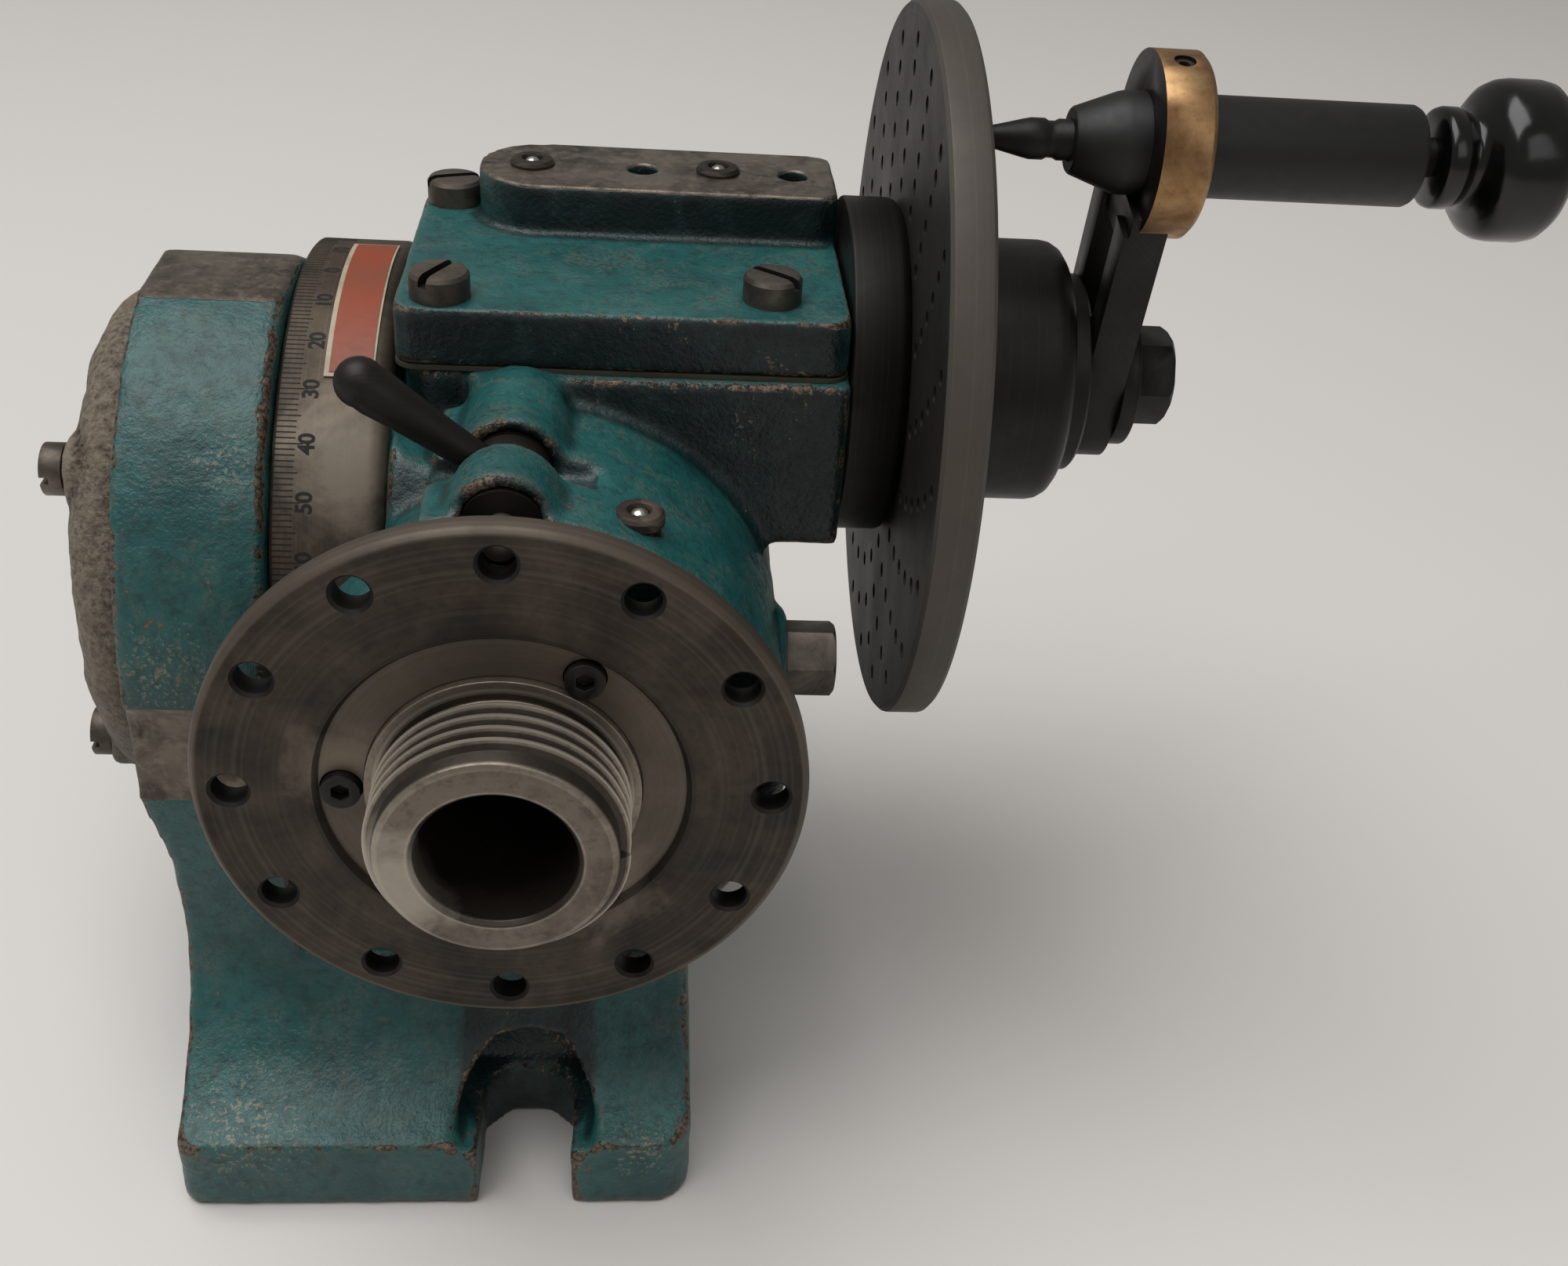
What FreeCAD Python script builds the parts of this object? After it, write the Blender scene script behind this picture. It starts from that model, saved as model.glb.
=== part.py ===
import FreeCAD, Part
import math
import os

# Tilting dividing head for a milling machine. Millimetres, +Z up.
# Y is the spindle (nose toward -Y), X the axis that the head tilts about.
# Everything is drawn about the crossing of these two axes and raised at the end,
# so that the underside of the base lies at z = 0 straight below the crossing.

os.makedirs("parts", exist_ok=True)

V = FreeCAD.Vector
X_DIR = V(1, 0, 0)
Y_DIR = V(0, 1, 0)
Z_DIR = V(0, 0, 1)

# ---------------------------------------------------------------- driving dimensions
centre_height = 101.6          # underside to spindle axis
run_gap = 0.04                 # radial clearance of a running fit
face_gap = 0.3                 # between faces that turn past each other

# base
ring_r = 65.0                  # bearing ring of the base
ring_left = -69.7
ring_right = -43.4
journal_r = 48.0               # swivel journal in the ring
flat_depth = 1.2               # machined flat on the ring's front
pad_depth = 3.0                # machined flat on the ring's top
slope_depth = 8.5              # sloping flat behind it
base_front = -93.1
base_rear = 80.0
base_left = -65.2
base_right = 35.5
foot_thick = 17.0
slot_x = 2.4                   # middle of both bolt slots
slot_w = 18.4
slot_depth = 23.6
seat_thick = 15.0              # of the foot under the bolt head
pocket_r = 14.0
cradle_r = 68.0                # room for the head between the cheeks of the base
pedestal_top = -58.0

# swivel drum
collar_r = 61.4
collar_wall = 5.4
collar_right = -23.0
cap_r = 51.0

# head casting
body_r = 50.0
body_front = -78.0
body_rear = 36.0
worm_z = 43.4                  # height of the worm over the spindle
box_right = 61.0
box_front = -34.0
box_rear = 31.0
box_floor = 20.0
box_top = 54.0
gasket_t = 0.8
cover_t = 11.7
pad_top = 75.4
plunger_z = 46.5
plunger_r = 3.05
plunger_back = -38.0
plunger_draw = 6.6
boss_r = 9.5

# spindle
nose_r = 22.225                # 1 3/4 in nose, 8 threads to the inch
nose_end = -104.5
taper_big_r = 13.55            # No. 9 taper, half an inch to the foot
taper_len = 101.6
through_r = 10.5
front_journal_r = 19.0
wheel_seat_r = 18.5
rear_journal_r = 17.0
plate_r = 53.1                 # direct indexing plate
plate_front = -86.7
plate_back = -81.9
direct_holes = 12
direct_pcr = 46.5
plate_screw_r = 27.8

# worm gearing
wheel_teeth = 40
gear_module = 25.4 / 14.0        # 14 diametral pitch
wheel_pitch_r = gear_module * wheel_teeth / 2.0
worm_pitch_r = worm_z - wheel_pitch_r
backlash = 0.36

# index plate and crank
index_left = 72.2
index_right = 80.2
index_r = 70.8
circles = [(64.1, 20), (58.8, 19), (53.1, 18), (47.4, 17), (41.8, 16), (36.1, 15)]
index_hole_r = 1.6
handle_r = 53.1                # crank radius, worm axis to index pin
handle_lean = 13.0             # the crank stands this far forward of upright, degrees


# ---------------------------------------------------------------- helpers
def cyl_x(r, x0, x1, y=0.0, z=0.0):
    return Part.makeCylinder(r, x1 - x0, V(x0, y, z), X_DIR)


def cyl_y(r, y0, y1, x=0.0, z=0.0):
    return Part.makeCylinder(r, y1 - y0, V(x, y0, z), Y_DIR)


def cyl_z(r, z0, z1, x=0.0, y=0.0):
    return Part.makeCylinder(r, z1 - z0, V(x, y, z0), Z_DIR)


def tube_x(ro, ri, x0, x1, y=0.0, z=0.0):
    return cyl_x(ro, x0, x1, y, z).cut(cyl_x(ri, x0 - 1, x1 + 1, y, z))


def tube_y(ro, ri, y0, y1, x=0.0, z=0.0):
    return cyl_y(ro, y0, y1, x, z).cut(cyl_y(ri, y0 - 1, y1 + 1, x, z))


def box(x0, x1, y0, y1, z0, z1):
    return Part.makeBox(x1 - x0, y1 - y0, z1 - z0, V(x0, y0, z0))


def turned_y(profile, x=0.0, z=0.0):
    """A turned piece about a line along Y: profile lists (radius, y)."""
    pts = [V(x + r, y, z) for r, y in profile]
    face = Part.Face(Part.makePolygon(pts + [pts[0]]))
    return face.revolve(V(x, 0, z), Y_DIR, 360)


def turned_x(profile, y=0.0, z=0.0):
    """A turned piece about a line along X: profile lists (x, radius)."""
    pts = [V(x, y, z + r) for x, r in profile]
    face = Part.Face(Part.makePolygon(pts + [pts[0]]))
    return face.revolve(V(0, y, z), X_DIR, 360)


def turned_z(profile, x=0.0, y=0.0):
    """A turned piece about an upright line: profile lists (radius, z)."""
    pts = [V(x + r, y, z) for r, z in profile]
    face = Part.Face(Part.makePolygon(pts + [pts[0]]))
    return face.revolve(V(x, y, 0), Z_DIR, 360)


def prism(edges, direction):
    return Part.Face(Part.Wire(edges)).extrude(direction)


def polygon_prism(pts, direction):
    return Part.Face(Part.makePolygon(pts + [pts[0]])).extrude(direction)


def hexagon(across_flats, base, axis, height, turn=0.0):
    r = across_flats / math.sqrt(3)
    side = V(0, 0, 1) if abs(axis.z) < 0.5 else V(1, 0, 0)
    other = axis.cross(side)
    pts = []
    for i in range(6):
        a = math.radians(60 * i + turn)
        pts.append(base + side * (r * math.cos(a)) + other * (r * math.sin(a)))
    return polygon_prism(pts, axis * height)


def fused(shapes):
    out = shapes[0]
    for s in shapes[1:]:
        out = out.fuse(s)
    return out.removeSplitter()


def less(shape, tools):
    for t in tools:
        shape = shape.cut(t)
    return shape


def rounded(shape, radius, pick, quiet=True):
    """Rounds the edges that pick() takes; leaves the shape as it is if none can be rounded."""
    edges = [e for e in shape.Edges if pick(e)]
    if not edges:
        return shape
    try:
        out = shape.makeFillet(radius, edges)
        if out.isValid() and out.Volume > 0:
            return out
    except Exception:
        if not quiet:
            raise
    return shape


def bevelled(shape, size, pick):
    edges = [e for e in shape.Edges if pick(e)]
    if not edges:
        return shape
    try:
        out = shape.makeChamfer(size, edges)
        if out.isValid() and out.Volume > 0:
            return out
    except Exception:
        pass
    return shape


def within(e, x0=-999, x1=999, y0=-999, y1=999, z0=-999, z1=999):
    b = e.BoundBox
    ok_x = b.XMin >= x0 and b.XMax <= x1
    ok_y = b.YMin >= y0 and b.YMax <= y1
    ok_z = b.ZMin >= z0 and b.ZMax <= z1
    return ok_x and ok_y and ok_z


def round_x(x, r, angle_deg):
    """A point at radius r round the tilt axis, angle counted from the top toward the nose."""
    a = math.radians(angle_deg)
    return V(x, -r * math.sin(a), r * math.cos(a))


def save(name, shape):
    solids = shape.Solids
    assert solids, name
    for s in solids:
        assert s.isValid(), name
    out = solids[0] if len(solids) == 1 else Part.makeCompound(solids)
    out.translate(V(0, 0, centre_height))
    out.exportStep("parts/" + name + ".step")


# ---------------------------------------------------------------- base casting
def make_base():
    under = -centre_height
    foot_top = under + foot_thick
    waist = -48.0
    rise = foot_top - waist
    front_run = -ring_r - base_front
    rear_run = base_rear - ring_r
    front_arc = (front_run ** 2 + rise ** 2) / (2 * front_run)
    rear_arc = (rear_run ** 2 + rise ** 2) / (2 * rear_run)

    def arc_point(run, radius, sign):
        # halfway down the concave flank between waist and foot
        dz = rise / 2
        out = radius - math.sqrt(radius ** 2 - dz ** 2)
        return V(ring_left, sign * (ring_r + out), waist + dz)

    x = ring_left
    p = [V(x, base_front, under), V(x, base_front, foot_top), V(x, -ring_r, waist), V(x, -ring_r, 0)]
    q = [V(x, ring_r, 0), V(x, ring_r, waist), V(x, base_rear, foot_top), V(x, base_rear, under)]
    edges = [
        Part.makeLine(p[0], p[1]),
        Part.Arc(p[1], arc_point(front_run, front_arc, -1), p[2]).toShape(),
        Part.makeLine(p[2], p[3]),
        Part.Arc(p[3], V(x, 0, ring_r), q[0]).toShape(),
        Part.makeLine(q[0], q[1]),
        Part.Arc(q[1], arc_point(rear_run, rear_arc, 1), q[2]).toShape(),
        Part.makeLine(q[2], q[3]),
        Part.makeLine(q[3], p[0]),
    ]
    side = prism(edges, V(base_right - ring_left, 0, 0))

    y0 = base_front - 5
    front = [
        V(base_left, y0, under - 1), V(base_right, y0, under - 1), V(base_right, y0, -86), V(34, y0, pedestal_top),
        V(34, y0, 80), V(ring_left, y0, 80), V(ring_left, y0, -20), V(-66, y0, -35), V(base_left, y0, -50),
    ]
    casting = side.common(polygon_prism(front, V(0, base_rear - base_front + 10, 0)))

    # rounded corners of the foot, seen from above
    def upright(e):
        b = e.BoundBox
        return b.XLength < 2 and b.YLength < 0.1 and b.ZMax < foot_top + 0.2 and b.ZLength > 10

    casting = rounded(casting, 8, lambda e: upright(e) and e.BoundBox.XMin > 30)
    casting = rounded(casting, 4, lambda e: upright(e) and e.BoundBox.XMax < -60)

    # room for the head to the right of the ring
    casting = casting.cut(box(ring_right, 60, -ring_r - 40, ring_r + 40, pedestal_top, 90))
    casting = casting.cut(cyl_x(cradle_r, ring_right, 60))

    # bearing bore and its machined flats
    casting = casting.cut(cyl_x(journal_r + run_gap, ring_left - 1, ring_right + 1))
    casting = casting.cut(box(ring_left - 1, ring_right + 1, -ring_r - 5, -ring_r + flat_depth, -20, 0))
    casting = casting.cut(box(ring_left - 1, ring_right + 1, -40, 40, ring_r - pad_depth, ring_r + 5))
    slope = box(ring_left - 1, ring_right + 1, -60, 60, ring_r - slope_depth, ring_r + 25)
    slope.rotate(V(0, 0, 0), X_DIR, -25)
    casting = casting.cut(slope.common(box(ring_left - 2, ring_right + 2, 0.7, ring_r + 25, 0, ring_r + 25)))

    # bolt slots, open to the front and to the rear, with the bolt seat under an arched pocket
    seat = under + seat_thick
    for sign, edge in ((-1, base_front), (1, base_rear)):
        inner = edge - sign * slot_depth
        far = edge + sign * 5
        w = slot_w / 2
        c = 4.6
        pts = [
            V(slot_x - w, far, under - 1), V(slot_x - w, inner + sign * c, under - 1),
            V(slot_x - w + c, inner, under - 1), V(slot_x + w - c, inner, under - 1),
            V(slot_x + w, inner + sign * c, under - 1), V(slot_x + w, far, under - 1),
        ]
        casting = casting.cut(polygon_prism(pts, V(0, 0, seat_thick + 2)))
        y_in = inner + -sign * 3.5
        lo, hi = min(far, y_in), max(far, y_in)
        arch = cyl_y(pocket_r, lo, hi, slot_x, seat).common(box(-40, 40, lo, hi, seat, seat + 20))
        casting = casting.cut(arch)

    # short slots for the locating keys, in line with the bolt slots
    for lo, hi in ((-66, -42), (30, 53)):
        casting = casting.cut(box(slot_x - 7, slot_x + 7, lo, hi, under - 1, under + 4))
    return casting.removeSplitter()


# ---------------------------------------------------------------- swivel drum and end cap
plug_r = collar_r - collar_wall  # the head casting reaches into the hollow collar
plug_left = -41.0
bolt_pcr = 40.5
cap_left = -84.0
cap_face = ring_left - face_gap / 2
lug_r = 43.0


def make_drum():
    profile = [
        (cap_face, 0), (cap_face, journal_r), (ring_right + face_gap, journal_r),
        (ring_right + face_gap, collar_r - 0.6), (ring_right + face_gap + 0.6, collar_r),
        (collar_right - 3, collar_r), (collar_right - 1.2, collar_r - 0.6), (collar_right - 0.3, collar_r - 1.8),
        (collar_right, collar_r - 3.5), (collar_right, plug_r), (plug_left, plug_r), (plug_left, 0),
    ]
    drum = turned_x(profile)
    for a in (0, 90, 180):
        c = round_x(0, bolt_pcr, a)
        drum = drum.cut(cyl_x(4.0, cap_face - 1, plug_left + 1, c.y, c.z))
        drum = drum.cut(cyl_x(7.0, cap_face - 1, cap_face + 9, c.y, c.z))
    for a in (45, 135, 225, 315):
        c = round_x(0, lug_r, a)
        drum = drum.cut(cyl_x(3.0, cap_face - 1, cap_face + 14, c.y, c.z))
    return drum


def make_drum_bolts():
    """Three cap screws, under the end cap, that hold the drum on the head casting."""
    out = []
    seat = cap_face + 9
    for a in (0, 90, 180):
        c = round_x(0, bolt_pcr, a)
        head = cyl_x(6.5, seat - 8, seat, c.y, c.z).cut(hexagon(6.0, V(seat - 9, c.y, c.z), X_DIR, 5))
        out.append(head.fuse(cyl_x(4.0, seat, plug_left + 9, c.y, c.z)).removeSplitter())
    return Part.makeCompound(out)


def make_end_cap():
    profile = [
        (cap_face, 0), (cap_face, cap_r), (cap_face - 6.5, cap_r), (cap_face - 9.5, cap_r - 1.2),
        (cap_face - 11.5, cap_r - 3.6), (cap_left + 1.2, cap_r - 7), (cap_left + 0.4, cap_r - 12),
        (cap_left, cap_r - 20), (cap_left, 0),
    ]
    cap = turned_x(profile)
    for a in (45, 135, 225, 315):
        c = round_x(0, lug_r, a)
        cap = cap.fuse(cyl_x(6.5, cap_left + 0.4, cap_face, c.y, c.z))
    cap = cap.removeSplitter()
    for a in (45, 135, 225, 315):
        c = round_x(0, lug_r, a)
        cap = cap.cut(cyl_x(3.2, cap_left - 2, cap_face + 1, c.y, c.z))
        cap = cap.cut(cyl_x(5.3, cap_left - 2, cap_left + 0.4, c.y, c.z))
    return cap


def make_end_cap_screws():
    out = []
    for a in (45, 135, 225, 315):
        c = round_x(0, lug_r, a)
        shank = cyl_x(3.0, cap_left, cap_face + 12, c.y, c.z)
        head = cyl_x(5.0, cap_left - 3.6, cap_left + 0.4, c.y, c.z)
        slot = box(cap_left - 4, cap_left - 2, c.y - 6, c.y + 6, c.z - 0.7, c.z + 0.7)
        out.append(shank.fuse(head).removeSplitter().cut(slot))
    return Part.makeCompound(out)


def make_name_plate():
    t = 0.6
    x0 = -35.0
    x1 = -25.9 - 0.2
    ring = tube_x(collar_r + t, collar_r, x0, x1)
    wedge = []
    for a in (-9.0, 32.0):
        wedge.append(round_x(x0 - 1, 90, a))
    pts = [V(x0 - 1, 0, 0), wedge[0], wedge[1]]
    return ring.common(polygon_prism(pts, V(x1 - x0 + 2, 0, 0)))


# ---------------------------------------------------------------- head casting
wheel_room_r = 39.2
wheel_half = 9.0
bush_front = -74.4
bush_r = 21.6
worm_room_r = 10.4
worm_room_left = -13.8
worm_room_right = 20.0
worm_bush_r = 9.1
worm_journal_r = 6.5
left_bush_r = 7.0
screw_spots = [(-14.5, -25.0), (46.0, -21.0), (-16.5, 24.5)]
pad_screw_x = 51.9
guide_r = 7.1
lever_front = -62.5
lever_back = -55.0
lock_y = -43.0


def make_head():
    body = cyl_y(body_r, body_front, body_rear).cut(box(-60, -14, -90, 60, -60, 60))
    nose_ring = cyl_y(40.0, body_front, -61.8)
    left = cyl_y(40.0, -62, body_rear).common(box(collar_right, 0, -90, 60, -60, 60))
    plug = cyl_x(plug_r, plug_left, collar_right)
    web = cyl_x(collar_r - 0.4, collar_right, -14)
    slope = polygon_prism(
        [V(collar_right - 1, -80, 44.6), V(-12, -80, 39.1), V(-12, -80, 80), V(collar_right - 1, -80, 80)],
        V(0, 160, 0))
    web = web.cut(slope)
    web = web.cut(box(-30, 0, body_rear, 80, -80, 80))
    housing = box(-9, box_right, box_front, box_rear, box_floor, box_top)
    step = box(collar_right, -8, -22, box_rear, box_floor, box_top)
    post = cyl_z(7.0, 30, box_top, -14.5, -25).common(box(collar_right, 0, -40, 0, 20, 60))
    boss = cyl_y(boss_r, -75.5, box_front + 2, 0, plunger_z)
    boss_foot = box(-boss_r, boss_r, -75.5, box_front + 2, 30, plunger_z)
    hub_face = cyl_x(27.0, 30, box_right, 0, worm_z).common(box(30, box_right, -27, 27, 16.4, box_top))
    lock_boss = cyl_x(10.0, 30, 51.4, lock_y, 0)
    head = fused([body, left, plug, nose_ring, web, housing, step, post, boss, boss_foot, hub_face, lock_boss])

    def housing_foot(e):
        b = e.BoundBox
        flat_y = abs(b.YMin - box_front) < 0.01 and abs(b.YMax - box_front) < 0.01
        return flat_y and b.XMin > 8 and b.ZMax < box_top - 1 and b.ZMin > box_floor + 0.5 and b.XLength > 5

    head = rounded(head, 5.0, housing_foot)
    head = rounded(head, 2.0, lambda e: within(e, -11, 11, -75.6, -75.4, 36, 60))
    head = rounded(head, 3.0, lambda e: within(e, 60.9, 61.1, -35, 35, 19, 53.9) and e.BoundBox.ZLength > 8)

    # inside: spindle bushes, wheel, worm
    head = less(head, [
        cyl_y(bush_r, -76, -15),
        cyl_y(34.6, body_front - 1, bush_front),
        cyl_y(front_journal_r + 1.0, -16, -13),
        cyl_y(wheel_room_r, -14, plug_r + 1),
        cyl_x(worm_room_r, worm_room_left, worm_room_right, 0, worm_z),
        box(worm_room_left, worm_room_right, -worm_room_r, worm_room_r, worm_z, box_top + 1),
        box(-12, 12, -13, 13, 20, worm_z),
        cyl_x(worm_bush_r, worm_room_right - 1, box_right + 1, 0, worm_z),
        cyl_x(left_bush_r, worm_room_left - 5, worm_room_left + 1, 0, worm_z),
    ])
    for a in (0, 90, 180):
        c = round_x(0, bolt_pcr, a)
        head = head.cut(cyl_x(4.0, plug_left - 1, plug_left + 10, c.y, c.z))
    head = head.cut(box(-25, -8, -60, -22, 34, 80).cut(cyl_z(7.0, 29, 81, -14.5, -25)).common(
        box(-25, -9, -34.5, -22, 45, 60)))

    # plunger bore, and the slot that its lever moves in
    head = head.cut(cyl_y(guide_r, body_front - 1, -36, 0, plunger_z))
    head = head.cut(cyl_y(plunger_r + 0.6, -37, plunger_back + plunger_draw + 1.0, 0, plunger_z))
    slot = tube_y(boss_r + 6, 1.0, lever_front, lever_back, 0, plunger_z)
    head = head.cut(slot.common(box(-30, 30, -80, -40, plunger_z - 1.0, 90)))

    # lock bolt, and the pad that it presses on the spindle
    head = head.cut(cyl_x(3.0, 40, 60, lock_y, 0))
    head = head.cut(cyl_x(4.1, bush_r - 2, 42, lock_y, 0))

    # screw holes of the cover, the rear cap and the hub; oil hole of the front bearing
    for sx, sy in screw_spots + [(pad_screw_x, pad_y)]:
        head = head.cut(cyl_z(3.0, box_top - 14, box_top + 1, sx, sy))
    for a in (30, 90, 150, 210, 270, 330):
        r = 44.0
        cx = r * math.cos(math.radians(a))
        cz = r * math.sin(math.radians(a))
        if cx > -13 and a != 90:
            head = head.cut(cyl_y(2.5, body_rear - 12, body_rear + 1, cx, cz))
    for a in (30, 150, 270):
        cy = 22.5 * math.cos(math.radians(a))
        cz = worm_z - abs(22.5 * math.sin(math.radians(a))) if a == 270 else worm_z
        head = head.cut(cyl_x(2.0, box_right - 9, box_right + 1, cy, cz))
    head = head.cut(oiler_hole())
    return head.removeSplitter()


oiler_x, oiler_y = 22.3, -68.0


def oiler_hole():
    """Drilled down from the oiler, then across to the top of the front bush."""
    down = cyl_z(3.0, 15, 60, oiler_x, oiler_y)
    return down.fuse(cyl_x(2.0, 0, oiler_x, oiler_y, 18.5))


def make_gasket():
    z0 = box_top
    z1 = box_top + gasket_t
    flat = cover_outline(0.0, z0, z1)
    room = box(worm_room_left, worm_room_right, -worm_room_r, worm_room_r, z0 - 1, z1 + 1)
    holes = screw_spots + [(pad_screw_x, pad_y)]
    return less(flat.cut(room), [cyl_z(3.1, z0 - 1, z1 + 1, sx, sy) for sx, sy in holes])


def cover_outline(inset, z0, z1):
    x0 = collar_right + 0.3 + inset
    x1 = box_right - 0.5 - inset
    y0 = -32.0 + inset
    y1 = 30.0 - inset
    plate = box(x0, x1, y0, y1, z0, z1)
    return rounded(plate, 4.0, lambda e: abs(e.BoundBox.ZLength - (z1 - z0)) < 0.01)


pad_y = 20.0
pad_half = 13.0
ball_spots = [-0.5, 36.7]
plug_x = 21.5


def make_cover():
    z0 = box_top + gasket_t
    z1 = z0 + cover_t - gasket_t
    cover = cover_outline(0.0, z0, z1)
    cover = rounded(cover, 0.8, lambda e: abs(e.BoundBox.ZMin - z1) < 0.01)
    pad = box(2, box_right, pad_y - pad_half, pad_y + pad_half, z1 - 1, pad_top)
    pad = pad.fuse(cyl_z(pad_half, z1 - 1, pad_top, 2, pad_y)).removeSplitter()
    pad = pad.common(box(-30, box_right - 0.5, -40, 33.0, 0, 90))
    pad = rounded(pad, 4.0, lambda e: e.BoundBox.ZLength > 8 and e.BoundBox.XMin > 50)
    cover = cover.fuse(pad).removeSplitter()
    tools = []
    for sx, sy in screw_spots:
        tools.append(cyl_z(3.2, z0 - 1, z1 + 30, sx, sy))
        tools.append(cyl_z(6.0, z1 - 0.4, z1 + 30, sx, sy))
    for sx in ball_spots + [plug_x]:
        tools.append(cyl_z(3.0, pad_top - 14, pad_top + 1, sx, pad_y))
    tools.append(cyl_z(3.0, z0 - 1, pad_top + 1, pad_screw_x, pad_y))
    tools.append(box(worm_room_left, worm_room_right, -worm_room_r, worm_room_r, z0 - 1, z0 + 3.0))
    return less(cover, tools)


def slotted_screw(x, y, seat, shank_len):
    shank = cyl_z(3.0, seat - shank_len, seat + 1, x, y)
    head = cyl_z(5.5, seat, seat + 5.5, x, y)
    head = bevelled(head, 0.7, lambda e: abs(e.BoundBox.ZMin - seat - 5.5) < 0.01)
    cut = box(x - 7, x + 7, y - 0.8, y + 0.8, seat + 3.6, seat + 6)
    cut.rotate(V(x, y, 0), Z_DIR, 12)
    return shank.fuse(head).removeSplitter().cut(cut)


def make_cover_screws():
    z1 = box_top + cover_t
    return Part.makeCompound([slotted_screw(sx, sy, z1 - 0.4, 20) for sx, sy in screw_spots])


def ball_oiler(x, y, z):
    cup = turned_z([(0, z - 6), (3.0, z - 6), (3.0, z), (4.6, z), (4.6, z + 0.9), (4.0, z + 1.5), (2.0, z + 1.5),
                    (2.0, z + 0.7), (0, z + 1.3)], x, y)
    return cup


def make_ball_oilers():
    out = [ball_oiler(sx, pad_y, pad_top) for sx in ball_spots]
    top = math.sqrt(body_r ** 2 - (oiler_x + 4.6) ** 2) - 0.2
    low = turned_z([(0, 34), (3.0, 34), (3.0, top), (3.0, top + 4.0), (0, top + 4.0)], oiler_x, oiler_y)
    out.append(low)
    return Part.makeCompound(out)


def make_pad_screws():
    """A plug over an unused oil hole, and the long grub screw that holds the cover's rear right corner."""
    out = []
    for sx, low in ((plug_x, pad_top - 12), (pad_screw_x, box_top - 12)):
        plug = cyl_z(3.0, low, pad_top - 2.5, sx, pad_y)
        out.append(plug.cut(box(sx - 4, sx + 4, pad_y - 0.5, pad_y + 0.5, pad_top - 4, pad_top)))
    return Part.makeCompound(out)


# ---------------------------------------------------------------- spindle and its bearings
def make_spindle():
    reg_r = 24.0
    profile = [
        (0, nose_end), (nose_r - 1.6, nose_end), (nose_r, nose_end + 1.6), (nose_r, -90.4),
        (nose_r - 2.2, -89.6), (nose_r - 2.2, plate_front), (reg_r, plate_front), (reg_r, plate_back), (34.0, plate_back),
        (34.0, bush_front - 0.3), (front_journal_r, bush_front - 0.3), (front_journal_r, -13.0),
        (wheel_seat_r, -13.0), (wheel_seat_r, 12.0), (rear_journal_r, 12.0), (rear_journal_r, 46.0),
        (15.5, 46.0), (15.5, 60.0), (14.5, 61.0), (0, 61.0),
    ]
    spindle = turned_y(profile)
    end_r = taper_big_r - taper_len / 48.0
    bore = turned_y([(0, nose_end - 1), (taper_big_r + 1.4, nose_end - 1), (taper_big_r, nose_end + 0.4),
                     (end_r, nose_end + taper_len), (through_r, nose_end + taper_len + 0.6),
                     (through_r, 62), (0, 62)])
    spindle = spindle.cut(bore)
    for a in (60, 180, 300):
        cx = plate_screw_r * math.cos(math.radians(a))
        cz = plate_screw_r * math.sin(math.radians(a))
        spindle = spindle.cut(cyl_y(2.0, plate_back - 1, plate_back + 5.6, cx, cz))
    return spindle.cut(key_box(wheel_seat_r - 3.0))


def key_box(r0, r1=wheel_seat_r + 3.0, half=3.0):
    return box(-half, half, -wheel_half, wheel_half, -r1, -r0)


def make_direct_plate():
    plate = tube_y(plate_r, 24.0 + 0.01, plate_front, plate_back)
    plate = bevelled(plate, 0.6, lambda e: e.BoundBox.XLength > 100)
    plate = plate.cut(cyl_y(32.0, plate_front - 1, plate_front + 1.5))
    tools = []
    for i in range(direct_holes):
        a = math.radians(90 + 360.0 / direct_holes * i)
        tools.append(cyl_y(3.15, plate_front - 1, plate_back + 1, direct_pcr * math.cos(a), direct_pcr * math.sin(a)))
    for a in (60, 180, 300):
        cx = plate_screw_r * math.cos(math.radians(a))
        cz = plate_screw_r * math.sin(math.radians(a))
        tools.append(cyl_y(2.1, plate_front - 1, plate_back + 1, cx, cz))
        tools.append(cyl_y(3.7, plate_front - 1, plate_front + 3.0, cx, cz))
    return less(plate, tools)


def make_direct_plate_screws():
    out = []
    seat = plate_front + 3.0
    for a in (60, 180, 300):
        cx = plate_screw_r * math.cos(math.radians(a))
        cz = plate_screw_r * math.sin(math.radians(a))
        screw = cyl_y(3.5, seat - 3.2, seat, cx, cz).fuse(cyl_y(2.0, seat - 1, seat + 7, cx, cz)).removeSplitter()
        screw = screw.cut(hexagon(3.0, V(cx, seat - 4, cz), Y_DIR, 2.8))
        out.append(screw)
    return Part.makeCompound(out)


def make_front_bush():
    bush = tube_y(bush_r, front_journal_r + run_gap, bush_front, -15.0)
    bush = bush.cut(cyl_x(4.1, 10, 40, lock_y, 0))
    return bush.cut(cyl_z(2.0, 10, 40, 0, oiler_y))


cap_thick = 7.0
rear_bush_r = 20.5


def make_rear_cap():
    flange = cyl_y(47.5, body_rear, body_rear + cap_thick).common(box(collar_right + 0.5, 60, 0, 80, -60, 60))
    cap = flange.fuse(cyl_y(wheel_room_r - 0.02, 14, body_rear)).removeSplitter()
    cap = cap.cut(cyl_y(rear_bush_r, 10, 60))
    return less(cap, [cyl_y(2.7, body_rear - 1, body_rear + 20, sx, sz) for sx, sz in rear_screw_spots()])


def rear_screw_spots():
    out = []
    for a in (30, 150, 210, 270, 330):
        cx = 44.0 * math.cos(math.radians(a))
        cz = 44.0 * math.sin(math.radians(a))
        if cx > -13:
            out.append((cx, cz))
    return out


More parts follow.
